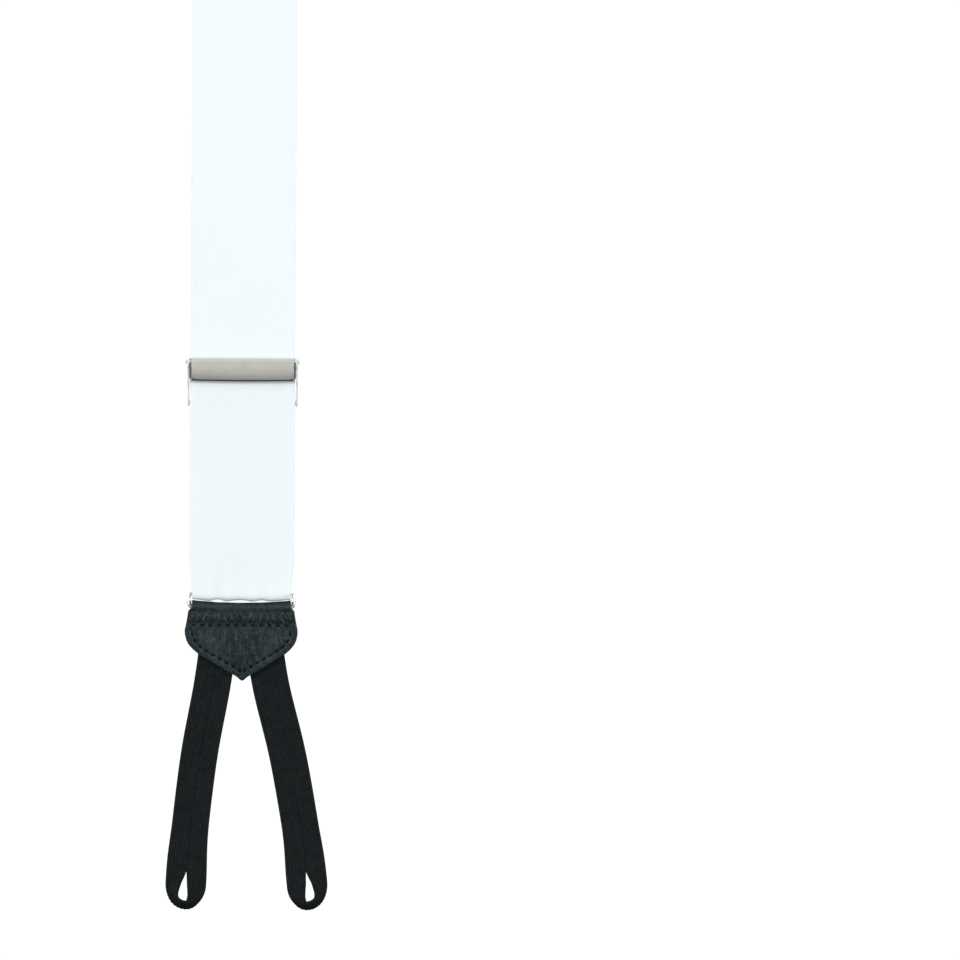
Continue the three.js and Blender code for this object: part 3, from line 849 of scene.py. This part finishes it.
def lathe_across(name, end_points, centre, sides, material):
    """A turned piece about an axis along X, from (x, radius) points that start and end at radius 0."""
    first, *rings, last = end_points
    points = [(x, radius * math.cos(angle), radius * math.sin(angle))
              for x, radius in rings for angle in around(sides)]
    tips = len(points), len(points) + 1
    points += [(first[0], 0, 0), (last[0], 0, 0)]
    faces = tube_faces(0, sides, len(rings))
    last_ring = (len(rings) - 1) * sides
    for k in range(sides):
        beside = (k + 1) % sides
        faces.append([tips[0], beside, k])
        faces.append([last_ring + k, last_ring + beside, tips[1]])
    return mesh_piece(name, np.asarray(centre) + metres(points), faces, material)


def wire_ring(end, material):
    """Round wire bent to a rectangle, its ends brazed in the middle of the top bar."""
    corner = 1.2
    half = RING_HALF_WIDTH
    top, bottom = 0.0, end.lower_bar
    centres = [(half - corner, top - corner, 0), (-half + corner, top - corner, 90),
               (-half + corner, bottom + corner, 180), (half - corner, bottom + corner, 270)]
    line = np.vstack([arc((cx, cz), corner, start, start + 90, 8) for cx, cz, start in centres])
    line = np.vstack([line, line[:1]])
    line = walk(line, 0.42)[:-1]
    out = clockwise(unit(np.roll(line, -1, axis=0) - np.roll(line, 1, axis=0)))
    sides = 18
    seam = bell(line[:, :1] - 6.0, 0.5) * (np.abs(line[:, 1:] - top) < 0.1)
    hammered = 0.012 * np.sin(line[:, :1] * 1.7 + line[:, 1:] * 2.1)
    radius = WIRE_RADIUS * (1 - 0.02 + 0.07 * seam + hammered)
    outward = radius * np.cos(around(sides))
    points = vectors(line[:, :1] + out[:, :1] * outward, radius * np.sin(around(sides)),
                     line[:, 1:] + out[:, 1:] * outward)
    faces = tube_faces(0, sides, len(line), closed=True)
    piece = mesh_piece(f"{end.name}_ring_wire", end.place(points.reshape(-1, 3)), faces, material)
    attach(piece, f"{end.name}_ring")
    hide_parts(f"{end.name}_ring")


LEVER_HALF = 18.3
LEVER_THICK = 0.55


def lever_path():
    """(y, z) from the pin: toothed lip, barrel rolled round the pin, and the cover plate."""
    radius = 1.075
    lip = [(radius, -2.3), (radius, 0)]
    barrel = arc((0, 0), radius, 0, 180, 20)
    plate = catmull([(-radius, 0), (-radius - 0.04, -1.2), (-radius - 0.08, -2.7), (-radius - 0.04, -4.1),
                     (-radius + 0.08, -5.3), (-radius + 0.36, -6.25), (-radius + 0.9, -6.72),
                     (-radius + 1.6, -6.82)], 8)
    return np.vstack([walk(lip, 0.3)[:-1], barrel, plate[1:]])


def lever(end, material):
    """The cover plate, its rolled barrel and the teeth behind it, in one bent sheet."""
    pin = joint_place(f"{end.name}_lever_hinge")
    path = lever_path()
    places, fullness = columns_across(LEVER_HALF, LEVER_THICK / 2, 0.4)
    row = np.arange(len(path))[:, None]
    on_lip = row < 9
    on_plate = smooth_step(row, 24, 28)
    # The plate's ends bulge a little, its long edges are bowed and its corners rounded off.
    bulge = 0.3 * (1 - ((path[:, 1:] + 3.1) / 4.4) ** 2) * on_plate
    x = places + np.sign(places) * np.maximum(bulge, 0) * smooth_step(np.abs(places), 14, LEVER_HALF)
    points, normal = swept(path, x)
    z = points[..., 2]
    bow = 1 - 0.03 * (x / LEVER_HALF) ** 2
    corner = 1 - rounded(LEVER_HALF - np.abs(x), 1.3)
    round_off = 0.7 * corner * smooth_step(-z, 5, 7.2) * on_plate
    teeth = 0.45 * np.abs((x / 1.5) % 1 - 0.5) * smooth_step(-z, 1.0, 2.3) * on_lip
    points[..., 2] = z * bow + round_off + teeth
    depth = LEVER_THICK / 2 * fullness * MM
    # cloth.X and cloth.Y, the length from the lip's end, place the plate's painted shade at its ends and
    # where it curls under.
    from_bottom = lengths_along(path[::-1])[::-1, None]
    piece = closed_sheet(f"{end.name}_lever_plate", pin + metres(points), normal, depth, depth,
                         material, vectors(x, from_bottom, 0))
    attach(piece, f"{end.name}_lever")
    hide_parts(f"{end.name}_adjuster_lever")


def lever_ends(end, material):
    """The lever's ends turned in behind its plate, almost down to the ribbon."""
    pin = joint_place(f"{end.name}_lever_hinge")
    outline = catmull([(-1.0, -0.9), (-1.0, -4.2), (-0.7, -6.0), (-0.2, -6.8), (0.8, -6.9), (1.35, -6.4),
                       (1.35, -3.6), (1.25, -1.3)], 5)
    middle = outline.mean(axis=0)
    half_thick = 0.15
    layers = [(-1, 0.96), (-0.6, 1.0), (0.6, 1.0), (1, 0.96)]  # across the sheet, and how full
    points, faces = [], []
    for side in (-1, 1):
        faces += rod_faces(len(points), len(outline), len(layers))
        for across, size in layers:
            x = side * (LEVER_HALF - 0.35) + half_thick * across
            points.extend((x, y, z) for y, z in middle + (outline - middle) * size)
    piece = mesh_piece(f"{end.name}_lever_ends", pin + metres(points), faces, material)
    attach(piece, f"{end.name}_lever")


def lever_pin(end, material):
    """The pin with a peened dome at each end."""
    low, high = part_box(f"{end.name}_lever_pin")
    reach = (high[0] - low[0]) / 2 / MM
    head = 0.55
    radius, dome = 0.5, 0.9
    right_half = [(reach - head - 0.3, radius), (reach - head, radius), (reach - head, dome - 0.1),
                  (reach - head + 0.1, dome), (reach - 0.3, dome), (reach - 0.1, dome * 0.72),
                  (reach, dome * 0.35), (reach, 0)]
    profile = [(-x, r) for x, r in reversed(right_half)] + right_half
    piece = lathe_across(f"{end.name}_hinge_pin", profile, joint_place(f"{end.name}_lever_hinge"),
                         24, material)
    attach(piece, f"{end.name}_adjuster")
    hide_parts(f"{end.name}_lever_pin")


def finish_cad(node, material, bevel):
    """A CAD node that stays as it is: softened edges and its own material."""
    piece = frame["nodes"][node]
    piece.data.materials.clear()
    piece.data.materials.append(material)
    soften = piece.modifiers.new("edges", "BEVEL")
    soften.width = bevel * MM
    soften.segments = 2
    soften.limit_method = "ANGLE"


# ---------------------------------------------------------------- leather tab

# Half widths of the tab at distances below the ring's lower bar.
TAB_OUTLINE = [(-3, 18), (0.25, 18.05), (0.95, 18.95), (1.6, 19.3), (2.8, 19.4), (5.3, 19.8),
               (8.2, 20.45), (10, 20.4), (12, 19.9), (13.6, 19.1), (15.4, 17.5), (17.2, 15.4),
               (25, 2.2), (25.9, 1.1), (26.5, 0.4)]
CROSS_ROW = 6.5  # the row of stitches across the tab, below the bar
STITCH_INSET = 2.5


def tab_half(depth):
    """The outline with its corners eased."""
    depths, halves = np.array(TAB_OUTLINE).T
    fine = np.linspace(depths[0], depths[-1], 600)
    raw = np.interp(fine, depths, halves)
    keep = smooth_step(fine, 24, 26)
    return np.interp(depth, fine, eased(raw, 27) * (1 - keep) + raw * keep)


def tab_border(spacing):
    """Stitch places down one side of the tab, round its point and up the other."""
    depth = np.linspace(CROSS_ROW + 1.6, TAB_OUTLINE[-1][0], 400)
    edge = vectors(tab_half(depth), -depth)
    inset = edge + STITCH_INSET * clockwise(tangents(edge))
    side = inset[inset[:, 0] > 0]
    line = np.vstack([side, [(0, side[-1, 1] - 0.2)], (side * (-1, 1))[::-1]])
    return walk(line, spacing)


def stitches_between(line):
    """Middles and directions of stitches from each point of a line to the next."""
    return (line[1:] + line[:-1]) / 2, unit(line[1:] - line[:-1])


def tab_stitches():
    """Middles and directions of the tab's stitches, as (x, z) with z below the ring's lower bar."""
    centres, ahead = stitches_between(tab_border(2.7))
    pitch, count = 3.05, 12
    x = (np.arange(count) - (count - 1) / 2) * pitch - 0.4
    return np.vstack([centres, vectors(x, -CROSS_ROW)]), np.vstack([ahead, [(1, 0)] * count])


STITCHES = tab_stitches()


def nearest_stitch(x, z):
    """For every point: how far along and how far beside the nearest stitch it lies."""
    along, beside, best = (np.full(x.shape, 99.0) for _ in range(3))
    for (cx, cz), (tx, tz) in zip(*STITCHES):
        dx, dz = x - cx, z - cz
        distance = np.hypot(dx, dz)
        nearer = distance < best
        best = np.where(nearer, distance, best)
        along = np.where(nearer, dx * tx + dz * tz, along)
        beside = np.where(nearer, -dx * tz + dz * tx, beside)
    return along, beside


def leather_relief(x, depth, front):
    """Height of the leather's face in millimetres: puffed middle, sewn grooves, gathered roll."""
    longest = TAB_OUTLINE[-1][0]
    depths = np.linspace(0, longest, 200)
    lean = np.interp(depth, depths, np.gradient(tab_half(depths), depths))
    from_edge = (tab_half(depth) - np.abs(x)) / np.sqrt(1 + lean ** 2)
    from_edge = np.minimum(from_edge, np.maximum(longest - depth, 0))
    below_row = smooth_step(depth, CROSS_ROW, CROSS_ROW + 3)
    height = 0.55 * smooth_step(from_edge, STITCH_INSET, STITCH_INSET + 5.5) * below_row
    height -= 0.22 * bell(from_edge - STITCH_INSET, 0.5) * smooth_step(depth, 6, 8)
    along, beside = nearest_stitch(x, -depth)
    height -= 0.24 * bell(beside, 0.5) * bell(np.maximum(np.abs(along) - 0.6, 0), 0.35)
    puckers = np.cos(2 * math.pi * along / 2.8) * bell(np.abs(beside) - 1.1, 0.9)
    height += 0.05 * puckers
    if front:
        groove = depth - 1.55 - 0.16 * np.sin(x * 0.8 + 1) - 0.1 * np.sin(x * 2.3)
        height -= (0.34 + 0.08 * np.sin(x * 1.7)) * bell(groove, 0.55)
        band = smooth_step(depth, 1.3, 2.4) * (1 - smooth_step(depth, 4.9, 6.3))
        bent = x + 0.35 * np.sin(depth * 1.1 + x * 0.31)
        wrinkle = (np.sin(bent * 2.7 + 0.9 * np.sin(x * 0.61)) + 0.8 * np.sin(bent * 4.3 + 1.3)
                   + 0.5 * np.sin(bent * 6.9 + depth * 0.5))
        wrinkle = wrinkle * (0.75 + 0.35 * np.sin(x * 0.37 + 2))
        height += band * (0.20 + 0.30 * wrinkle)
        height -= 0.30 * bell(depth - CROSS_ROW + 0.9, 0.8)
        folds = 0.09 * np.sin(x * 1.7 + 0.8 * np.sin(depth * 0.5) + 0.4)
        folds += 0.07 * np.sin(x * 3.1 - depth * 0.35) + 0.05 * np.sin(x * 4.6 + depth * 0.5)
        height += folds * below_row * smooth_step(from_edge, 2, 5)
    return height


def tip_aside(depth):
    """The tab's point hangs a little to one side."""
    return 0.45 * smooth_step(depth, 8, TAB_OUTLINE[-1][0])


def tab_leather(end, material):
    """One piece of leather folded over the ring's lower bar, with the loops between its halves."""
    bar = end.lower_bar
    depth_step = 0.34
    longest = TAB_OUTLINE[-1][0]
    front = walk([(-LEATHER_RADIUS, bar - longest), (-LEATHER_RADIUS, bar)], depth_step)
    roll = arc((0, bar), LEATHER_RADIUS, 180, 0, 14)
    path = np.vstack([front, roll[1:-1], front[::-1] * (-1, 1)])
    places, fullness = columns_across(1.0, 0.028, 0.0175)
    depth = bar - path[:, 1:]
    x = places * tab_half(depth)
    depth = depth + 0 * x
    middle, normal = swept(path, x)
    middle[..., 0] += tip_aside(depth)
    is_front = middle[..., 1] < 0
    relief = np.where(is_front, leather_relief(x, depth, True), leather_relief(x, depth, False))
    relief = relief * np.where(is_front, 1, smooth_step(depth, -LEATHER_RADIUS, 0.4))
    # The roll is pulled thin in its middle and stands up at its corners.
    on_roll = 1 - smooth_step(depth, -0.6, 1.6)
    corners = bell(np.abs(x) - 17.6, 0.7)
    relief = relief + on_roll * (0.8 * (x / 17.5) ** 2 - 0.5 + 0.1 * corners)
    tip_round = rounded(longest - depth, 0.5)
    outer = (LEATHER_THICK / 2 + relief) * fullness * tip_round
    outer = np.maximum(outer, 0.08 * fullness)
    inner = LEATHER_THICK / 2 * fullness * tip_round
    # Painted sheen: paler patches low on either side of the puffed middle and along the top roll, passed
    # to the material in cloth.Z.
    sheen_paint = bell(np.abs(x) - 12.0 + 0.62 * np.maximum(depth - 12, 0), 3.2)
    sheen_paint = sheen_paint * smooth_step(depth, 8, 12) * (1 - smooth_step(depth, 18, 24))
    sheen_paint = sheen_paint * (0.8 + 0.2 * np.sin(x * 2.6))
    roll_sheen_paint = 0.7 * bell(depth + 0.2, 0.8)
    cloth = vectors(x, middle[..., 2], sheen_paint + roll_sheen_paint)
    piece = closed_sheet(f"{end.name}_tab_folded", end.place(middle), end.direct(normal), outer * MM,
                         inner * MM, material, cloth)
    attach(piece, f"{end.name}_tab")
    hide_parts(f"{end.name}_tab_leather")


def stitch_row(name, centres, ahead, normals, length, radius, material, sunk=0.12):
    """Separate stitches: each a short thread that rises from one hole and dives into the next."""
    rings, sides = 9, 8
    points, faces = [], []
    for centre, forward, up in zip(centres, ahead, normals):
        up = unit(up)
        forward = unit(forward - up * np.dot(forward, up))
        aside = np.cross(up, forward)
        wobble = rng.normal(0, 0.03, 3)
        size = radius * (1 + rng.normal(0, 0.04))
        faces += rod_faces(len(points), sides, rings)
        for s in np.linspace(-1, 1, rings):
            thick = size * (1 - 0.55 * abs(s) ** 3)
            lift = size * 0.55 - sunk - (size * 1.4 + sunk) * abs(s) ** 3
            core = centre + forward * (length / 2 * s + wobble[0]) + up * lift + aside * wobble[1] * s
            for angle in around(sides):
                points.append(core + thick * (aside * math.cos(angle) + up * 0.8 * math.sin(angle)))
    return mesh_piece(name, metres(points), faces, material)


def tab_stitching(end, thread):
    """Both faces of the tab's border row and cross row."""
    centres, ahead, normals = [], [], []
    for face in (-1, 1):
        for (x, z), (tx, tz) in zip(*STITCHES):
            relief = leather_relief(np.array([[x]]), np.array([[-z]]), face < 0)[0, 0]
            y = face * (LEATHER_RADIUS + LEATHER_THICK / 2 + relief)
            centres.append(end.place((x + tip_aside(-z), y, end.lower_bar + z)) / MM)
            ahead.append(end.direct((tx, 0, tz)))
            normals.append(end.direct((0, face, 0)))
    piece = stitch_row(f"{end.name}_tab_thread", centres, ahead, normals, 1.9, 0.34, thread, sunk=0.0)
    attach(piece, f"{end.name}_tab")


# ---------------------------------------------------------------- braided loops

INNER_LINE = [(-7.3, -9), (-10.2, -32), (-15, -59), (-18.5, -89), (-19.5, -105)]
OUTER_LINE = [(7.3, -9), (10.6, -32), (17.2, -59), (22.4, -88), (24.4, -105)]
LOOP_HALF = 7.4
LOOP_END = 9.0
# The button slit's two sides: height above the loop's bottom and distance from its middle line.
# One leg stays flat. The other is drawn aside, on edge.
SLIT_TOP = 13.8
STRAIGHT_SIDE = [(SLIT_TOP, -0.02), (11, 0.22), (7, 0.48), (4, 0.62), (3, 0.55)]
DRAWN_SIDE = [(SLIT_TOP, -0.02), (11, 0.85), (8, 2.1), (6.4, 2.8), (5.2, 3.05), (4.2, 2.95)]
SLIT_FLOOR = [(3.55, 2.5), (2.95, 1.6), (2.6, 0.6), (2.5, -0.2)]
SEAM = 0.07  # how far one leg of a loop lies over the other
PLAIT_PITCH = 1.06
PLAIT_COLUMNS = 6


def slit_side(shape, height):
    """Half the gap on one side of a loop's middle line."""
    heights, gaps = np.array(shape)[::-1].T
    return np.interp(height, heights, gaps) - SEAM * smooth_step(height, SLIT_TOP - 4, SLIT_TOP)


def loop_edges(line):
    """The tape's outer and inner edges as (x, z), down one leg, round the loop and up the other."""
    bottom_x = line[-1][0]
    gapes = 1 if bottom_x > 0 else -1
    centre = walk(catmull(line, 24), 0.2)
    across = clockwise(tangents(centre))
    height = centre[:, 1] - BRAID_BOTTOM
    half = 2 * TAPE_HALF + (LOOP_HALF - 2 * TAPE_HALF) * smooth_step(-height, -32, -11)
    legs = {}
    for side in (-1, 1):
        shape = DRAWN_SIDE if side == gapes else STRAIGHT_SIDE
        gap = slit_side(shape, height)
        legs[side] = centre - side * across * half[:, None], centre - side * across * gap[:, None]
    # Below the legs the outer edge rounds the loop's end and the inner edge rounds the slit.
    low = height[-1]
    turn = np.radians(np.linspace(0, 180, 96))
    outer_turn = vectors(LOOP_HALF * np.cos(turn), LOOP_END * (1 - np.sin(turn)))
    drawn = [(slit_side(DRAWN_SIDE, low), low)] + [(gap, h) for h, gap in DRAWN_SIDE if h < low - 0.5]
    floor = [(gap, h) for h, gap in SLIT_FLOOR]
    straight = [(-gap, h) for h, gap in STRAIGHT_SIDE[::-1] if h < low - 0.5]
    straight.append((-slit_side(STRAIGHT_SIDE, low), low))
    inner_turn = catmull(drawn + floor + straight, 12) * (gapes, 1)
    if gapes < 0:
        inner_turn = inner_turn[::-1]
    rows = 130
    shift = np.array([bottom_x, BRAID_BOTTOM])
    outer_turn = spread_evenly(outer_turn, rows) + shift
    inner_turn = spread_evenly(inner_turn, rows) + shift
    outer = np.vstack([legs[1][0][:-1], outer_turn, legs[-1][0][::-1][1:]])
    inner = np.vstack([legs[1][1][:-1], inner_turn, legs[-1][1][::-1][1:]])
    return outer, inner


def plait(u, v):
    """Relief of a flat braid, from 0 to 1: columns of slanting strands that lean alternately."""
    column = (u + 1) / 2 * PLAIT_COLUMNS
    index = np.clip(np.floor(column), 0, PLAIT_COLUMNS - 1)
    within = column - index - 0.5
    lean = np.where(index % 2 == 0, 1.0, -1.0)
    phase = v / PLAIT_PITCH + lean * within * 0.9 + index % 2 * 0.5
    strand = np.abs(np.cos(math.pi * phase)) ** 0.7
    crown = np.sqrt(np.clip(1 - (1.9 * within) ** 2, 0, 1))
    return strand * (0.3 + 0.7 * crown)


def braid(end, which, line, side):
    """A narrow flat-braided tape laid in a hairpin, on edge where it turns round the button slit."""
    outer, inner = (ease_rows(edge) for edge in loop_edges(line))
    middle_2d = (outer + inner) / 2
    v = lengths_along(middle_2d)
    spread = (outer - inner) / 2
    projected = np.linalg.norm(spread, axis=1)
    height = middle_2d[:, 1] - BRAID_BOTTOM
    # Where the tape looks narrower than it is, it stands on edge.
    squeezed = TAPE_HALF - 0.95 * (1 - smooth_step(height, 2, 16))
    on_edge = np.sqrt(np.maximum(squeezed ** 2 - projected ** 2, 0)) * (1 - smooth_step(height, 8, 14))
    # Higher up, the legs lie like shingles so that one edge rests on the other.
    second_leg = np.arange(len(v)) > len(v) / 2
    shingled = np.where(second_leg, 0.12, -0.12) * smooth_step(height, 7, 15)
    tilt = eased(on_edge + shingled, 31)
    inner_places = np.linspace(-1, 1, 4 * PLAIT_COLUMNS + 1)
    u = np.sort(np.concatenate([inner_places, [-0.99, -0.965, 0.95, 0.985]]))
    half_vector = vectors(spread[:, 0], tilt, spread[:, 1])
    centre = vectors(middle_2d[:, 0], -0.2 * np.maximum(tilt, 0), middle_2d[:, 1])
    middle = centre[:, None, :] + u[None, :, None] * half_vector[:, None, :]
    normal = unit(np.cross(half_vector, np.gradient(centre, axis=0)))
    normal *= np.where(normal[:, 1:2] > 0, -1, 1)
    normal = np.broadcast_to(normal[:, None, :], middle.shape)
    grid_u = np.broadcast_to(u, middle.shape[:2])
    grid_v = np.broadcast_to(v[:, None], middle.shape[:2])
    # The edges that meet are square, and the free edges round.
    round_off = np.where(grid_u > 0, 0.16, 0.035)
    fullness = rounded(1 - np.abs(grid_u), round_off)
    strands = plait(grid_u, grid_v)
    front = fullness * (0.34 + 0.42 * strands)
    back = fullness * (0.34 + 0.42 * plait(grid_u, grid_v + 0.4))
    flip = np.array([side, 1, 1])
    # cloth.Z holds the strands' height, which the yarn uses for painted shade between the strands.
    cloth = vectors(grid_u * TAPE_HALF, grid_v, strands)
    piece = closed_sheet(f"{end.name}_{which}_loop", end.place(middle * flip),
                         end.direct(normal * flip), front * MM, back * MM, LOOK["braid"], cloth)
    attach(piece, f"{end.name}_tab")
    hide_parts(f"{end.name}_braid_{which}")


def ease_rows(edge):
    """Evens out the joins between leg and turn, and leaves the first and last rows as they are."""
    smooth = vectors(*(eased(column, 15) for column in edge.T))
    smooth[:8], smooth[-8:] = edge[:8], edge[-8:]
    return smooth


# ---------------------------------------------------------------- back patch

PATCH_ROWS = 130
PATCH_COLUMNS = 131
PATCH_INSET = 2.3  # its stitches inside its edge
STRAPS_CROSS_Z = -245.3  # where the lines of the two straps' edges would meet


def patch_grid():
    """x and z over the shield that covers the strap junction, and the shares across and down it."""
    u = np.linspace(-1, 1, PATCH_COLUMNS)
    u = np.sin(math.pi / 2 * u) * 0.3 + u * 0.7
    v = np.linspace(0, 1, PATCH_ROWS)
    top_middle, bottom_middle = -158.0, -237.2
    side_z = np.array([-178.6, -183, -209, -214, -222, -225.5])
    side_x = np.array([38.0, 38.4, 23.2, 22, 22, 20.5])
    at_side = side_z[0] + (side_z[-1] - side_z[0]) * v
    half = np.interp(-at_side, -side_z, side_x)
    half = np.convolve(np.pad(half, 3, mode="edge"), np.ones(7) / 7, mode="valid")
    middle = top_middle + (bottom_middle - top_middle) * v
    x = half[:, None] * u
    z = middle[:, None] + (at_side - middle)[:, None] * np.abs(u)
    return x, z, u, v


def patch(which, face, material):
    """A leather shield over the junction, pressed in along the edges of the straps beneath it."""
    node = f"y_patch_{which}"
    low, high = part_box(node)
    thick = (high[1] - low[1]) / MM
    y = (low[1] + high[1]) / 2
    x, z, u, v = patch_grid()
    inset_u = (1 - np.abs(u)) * np.abs(x).max(axis=1, keepdims=True)
    inset_v = np.minimum(v, 1 - v)[:, None] * 70
    from_edge = np.minimum(inset_u, inset_v)
    fullness = rounded(from_edge, 0.6)
    fullness[:, 0] = fullness[:, -1] = 0
    fullness[0, :] = fullness[-1, :] = 0.05
    fullness[0, 0] = fullness[0, -1] = fullness[-1, 0] = fullness[-1, -1] = 0
    strap_edge = np.abs(np.abs(x) - (z - STRAPS_CROSS_Z) * math.tan(2 * SHOULDER_SLOPE))
    relief = 0.25 * smooth_step(from_edge, 1.8, 5.0)
    relief -= 0.18 * bell(from_edge - PATCH_INSET, 0.45)
    relief -= 0.10 * bell(strap_edge, 1.2) * smooth_step(from_edge, 2, 5)
    relief += 0.04 * np.sin(x * 0.5 + z * 0.2) * np.sin(z * 0.33 - x * 0.12)
    points = vectors(x, 0, z) * MM + (0, y, 0)
    normal = np.broadcast_to(np.array([0.0, face, 0.0]), points.shape)
    outer = (thick / 2 + relief) * fullness * MM
    inner = thick / 2 * fullness * MM
    cloth = vectors(x, z, 0)
    piece = closed_sheet(f"{node}_shield", points, normal, outer, inner, material, cloth)
    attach(piece, "straps")
    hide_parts(node)
    return y / MM + face * thick / 2


def patch_stitching(which, face, surface_y, thread):
    """A row of stitches round the shield, a little inside its edge."""
    x, z = patch_grid()[:2]
    grid = vectors(x, z)
    border = np.vstack([grid[-1], grid[::-1, -1][1:], grid[0, ::-1][1:], grid[:, 0][1:]])
    inward = clockwise(tangents(border))
    inward *= np.sign(np.einsum("ij,ij->i", inward, border.mean(axis=0) - border))[:, None]
    centres, ahead = stitches_between(walk(border + PATCH_INSET * inward, 2.9))
    centres = vectors(centres[:, 0], surface_y + face * 0.08, centres[:, 1])
    normals = np.array([(0.0, face, 0.0)] * len(centres))
    piece = stitch_row(f"y_patch_{which}_thread", centres, vectors(ahead[:, 0], 0, ahead[:, 1]),
                       normals, 2.0, 0.27, thread, sunk=0.02)
    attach(piece, "straps")


# ---------------------------------------------------------------- white sewing

def cross_rows(name, end, heights, faces, thread):
    """Rows of stitches across a strap, on each (side, y) face, at heights above the ring."""
    pitch = 2.6
    count = int(2 * (STRAP_HALF - 1) / pitch)
    across = (np.arange(count) - (count - 1) / 2) * pitch
    centres, ahead, normals = [], [], []
    for side, y in faces:
        for height in heights:
            for x in across:
                centres.append(end.place((x, y, height)) / MM)
                ahead.append(end.direct((1, 0, 0)))
                normals.append(end.direct((0, side, 0)))
    piece = stitch_row(name, centres, ahead, normals, 2.0, 0.24, thread, sunk=0.02)
    return piece


# ---------------------------------------------------------------- assembly

LOOK = {}


def make_materials():
    LOOK.update(
        ribbon=satin_ribbon(),
        elastic=woven_elastic(),
        nickel=satin_nickel(),
        bright=bright_nickel(),
        dark=dark_nickel(),
        wire=polished_wire(),
        leather=grained_leather(),
        braid=braid_yarn(),
        black_thread=sewing_thread("black_thread", (0.0006, 0.0020, 0.0030), 0.55),
        white_thread=sewing_thread("white_thread", (0.84, 0.87, 0.88), 0.5),
    )


def front_end(name, side):
    end = End(name, 1, side)
    ribbon(end, LOOK["ribbon"])
    return_ribbon(end, LOOK["ribbon"], LOOK["white_thread"])
    lever(end, LOOK["nickel"])
    # The lever's turned-in ends are near-black metal, which is painted shade for the gap beside the
    # plate.
    lever_ends(end, LOOK["dark"])
    lever_pin(end, LOOK["bright"])
    finish_cad(f"{name}_adjuster_frame", LOOK["bright"], 0.1)
    wire_ring(end, LOOK["wire"])
    tab_leather(end, LOOK["leather"])
    tab_stitching(end, LOOK["black_thread"])
    braid(end, "inner", INNER_LINE, side)
    braid(end, "outer", OUTER_LINE, side)


def back_end():
    end = End("back", -1, 1)
    elastic_strap(end, LOOK["elastic"], LOOK["white_thread"])
    wire_ring(end, LOOK["wire"])
    tab_leather(end, LOOK["leather"])
    tab_stitching(end, LOOK["black_thread"])
    braid(end, "right", OUTER_LINE, 1)
    braid(end, "left", OUTER_LINE, -1)


def back_patch():
    for which, face in (("outer", 1), ("inner", -1)):  # face: which way along Y it looks
        surface = patch(which, face, LOOK["leather"])
        patch_stitching(which, face, surface, LOOK["black_thread"])


def main():
    make_studio()
    make_materials()
    front_end("left", 1)
    front_end("right", -1)
    back_end()
    back_patch()


main()
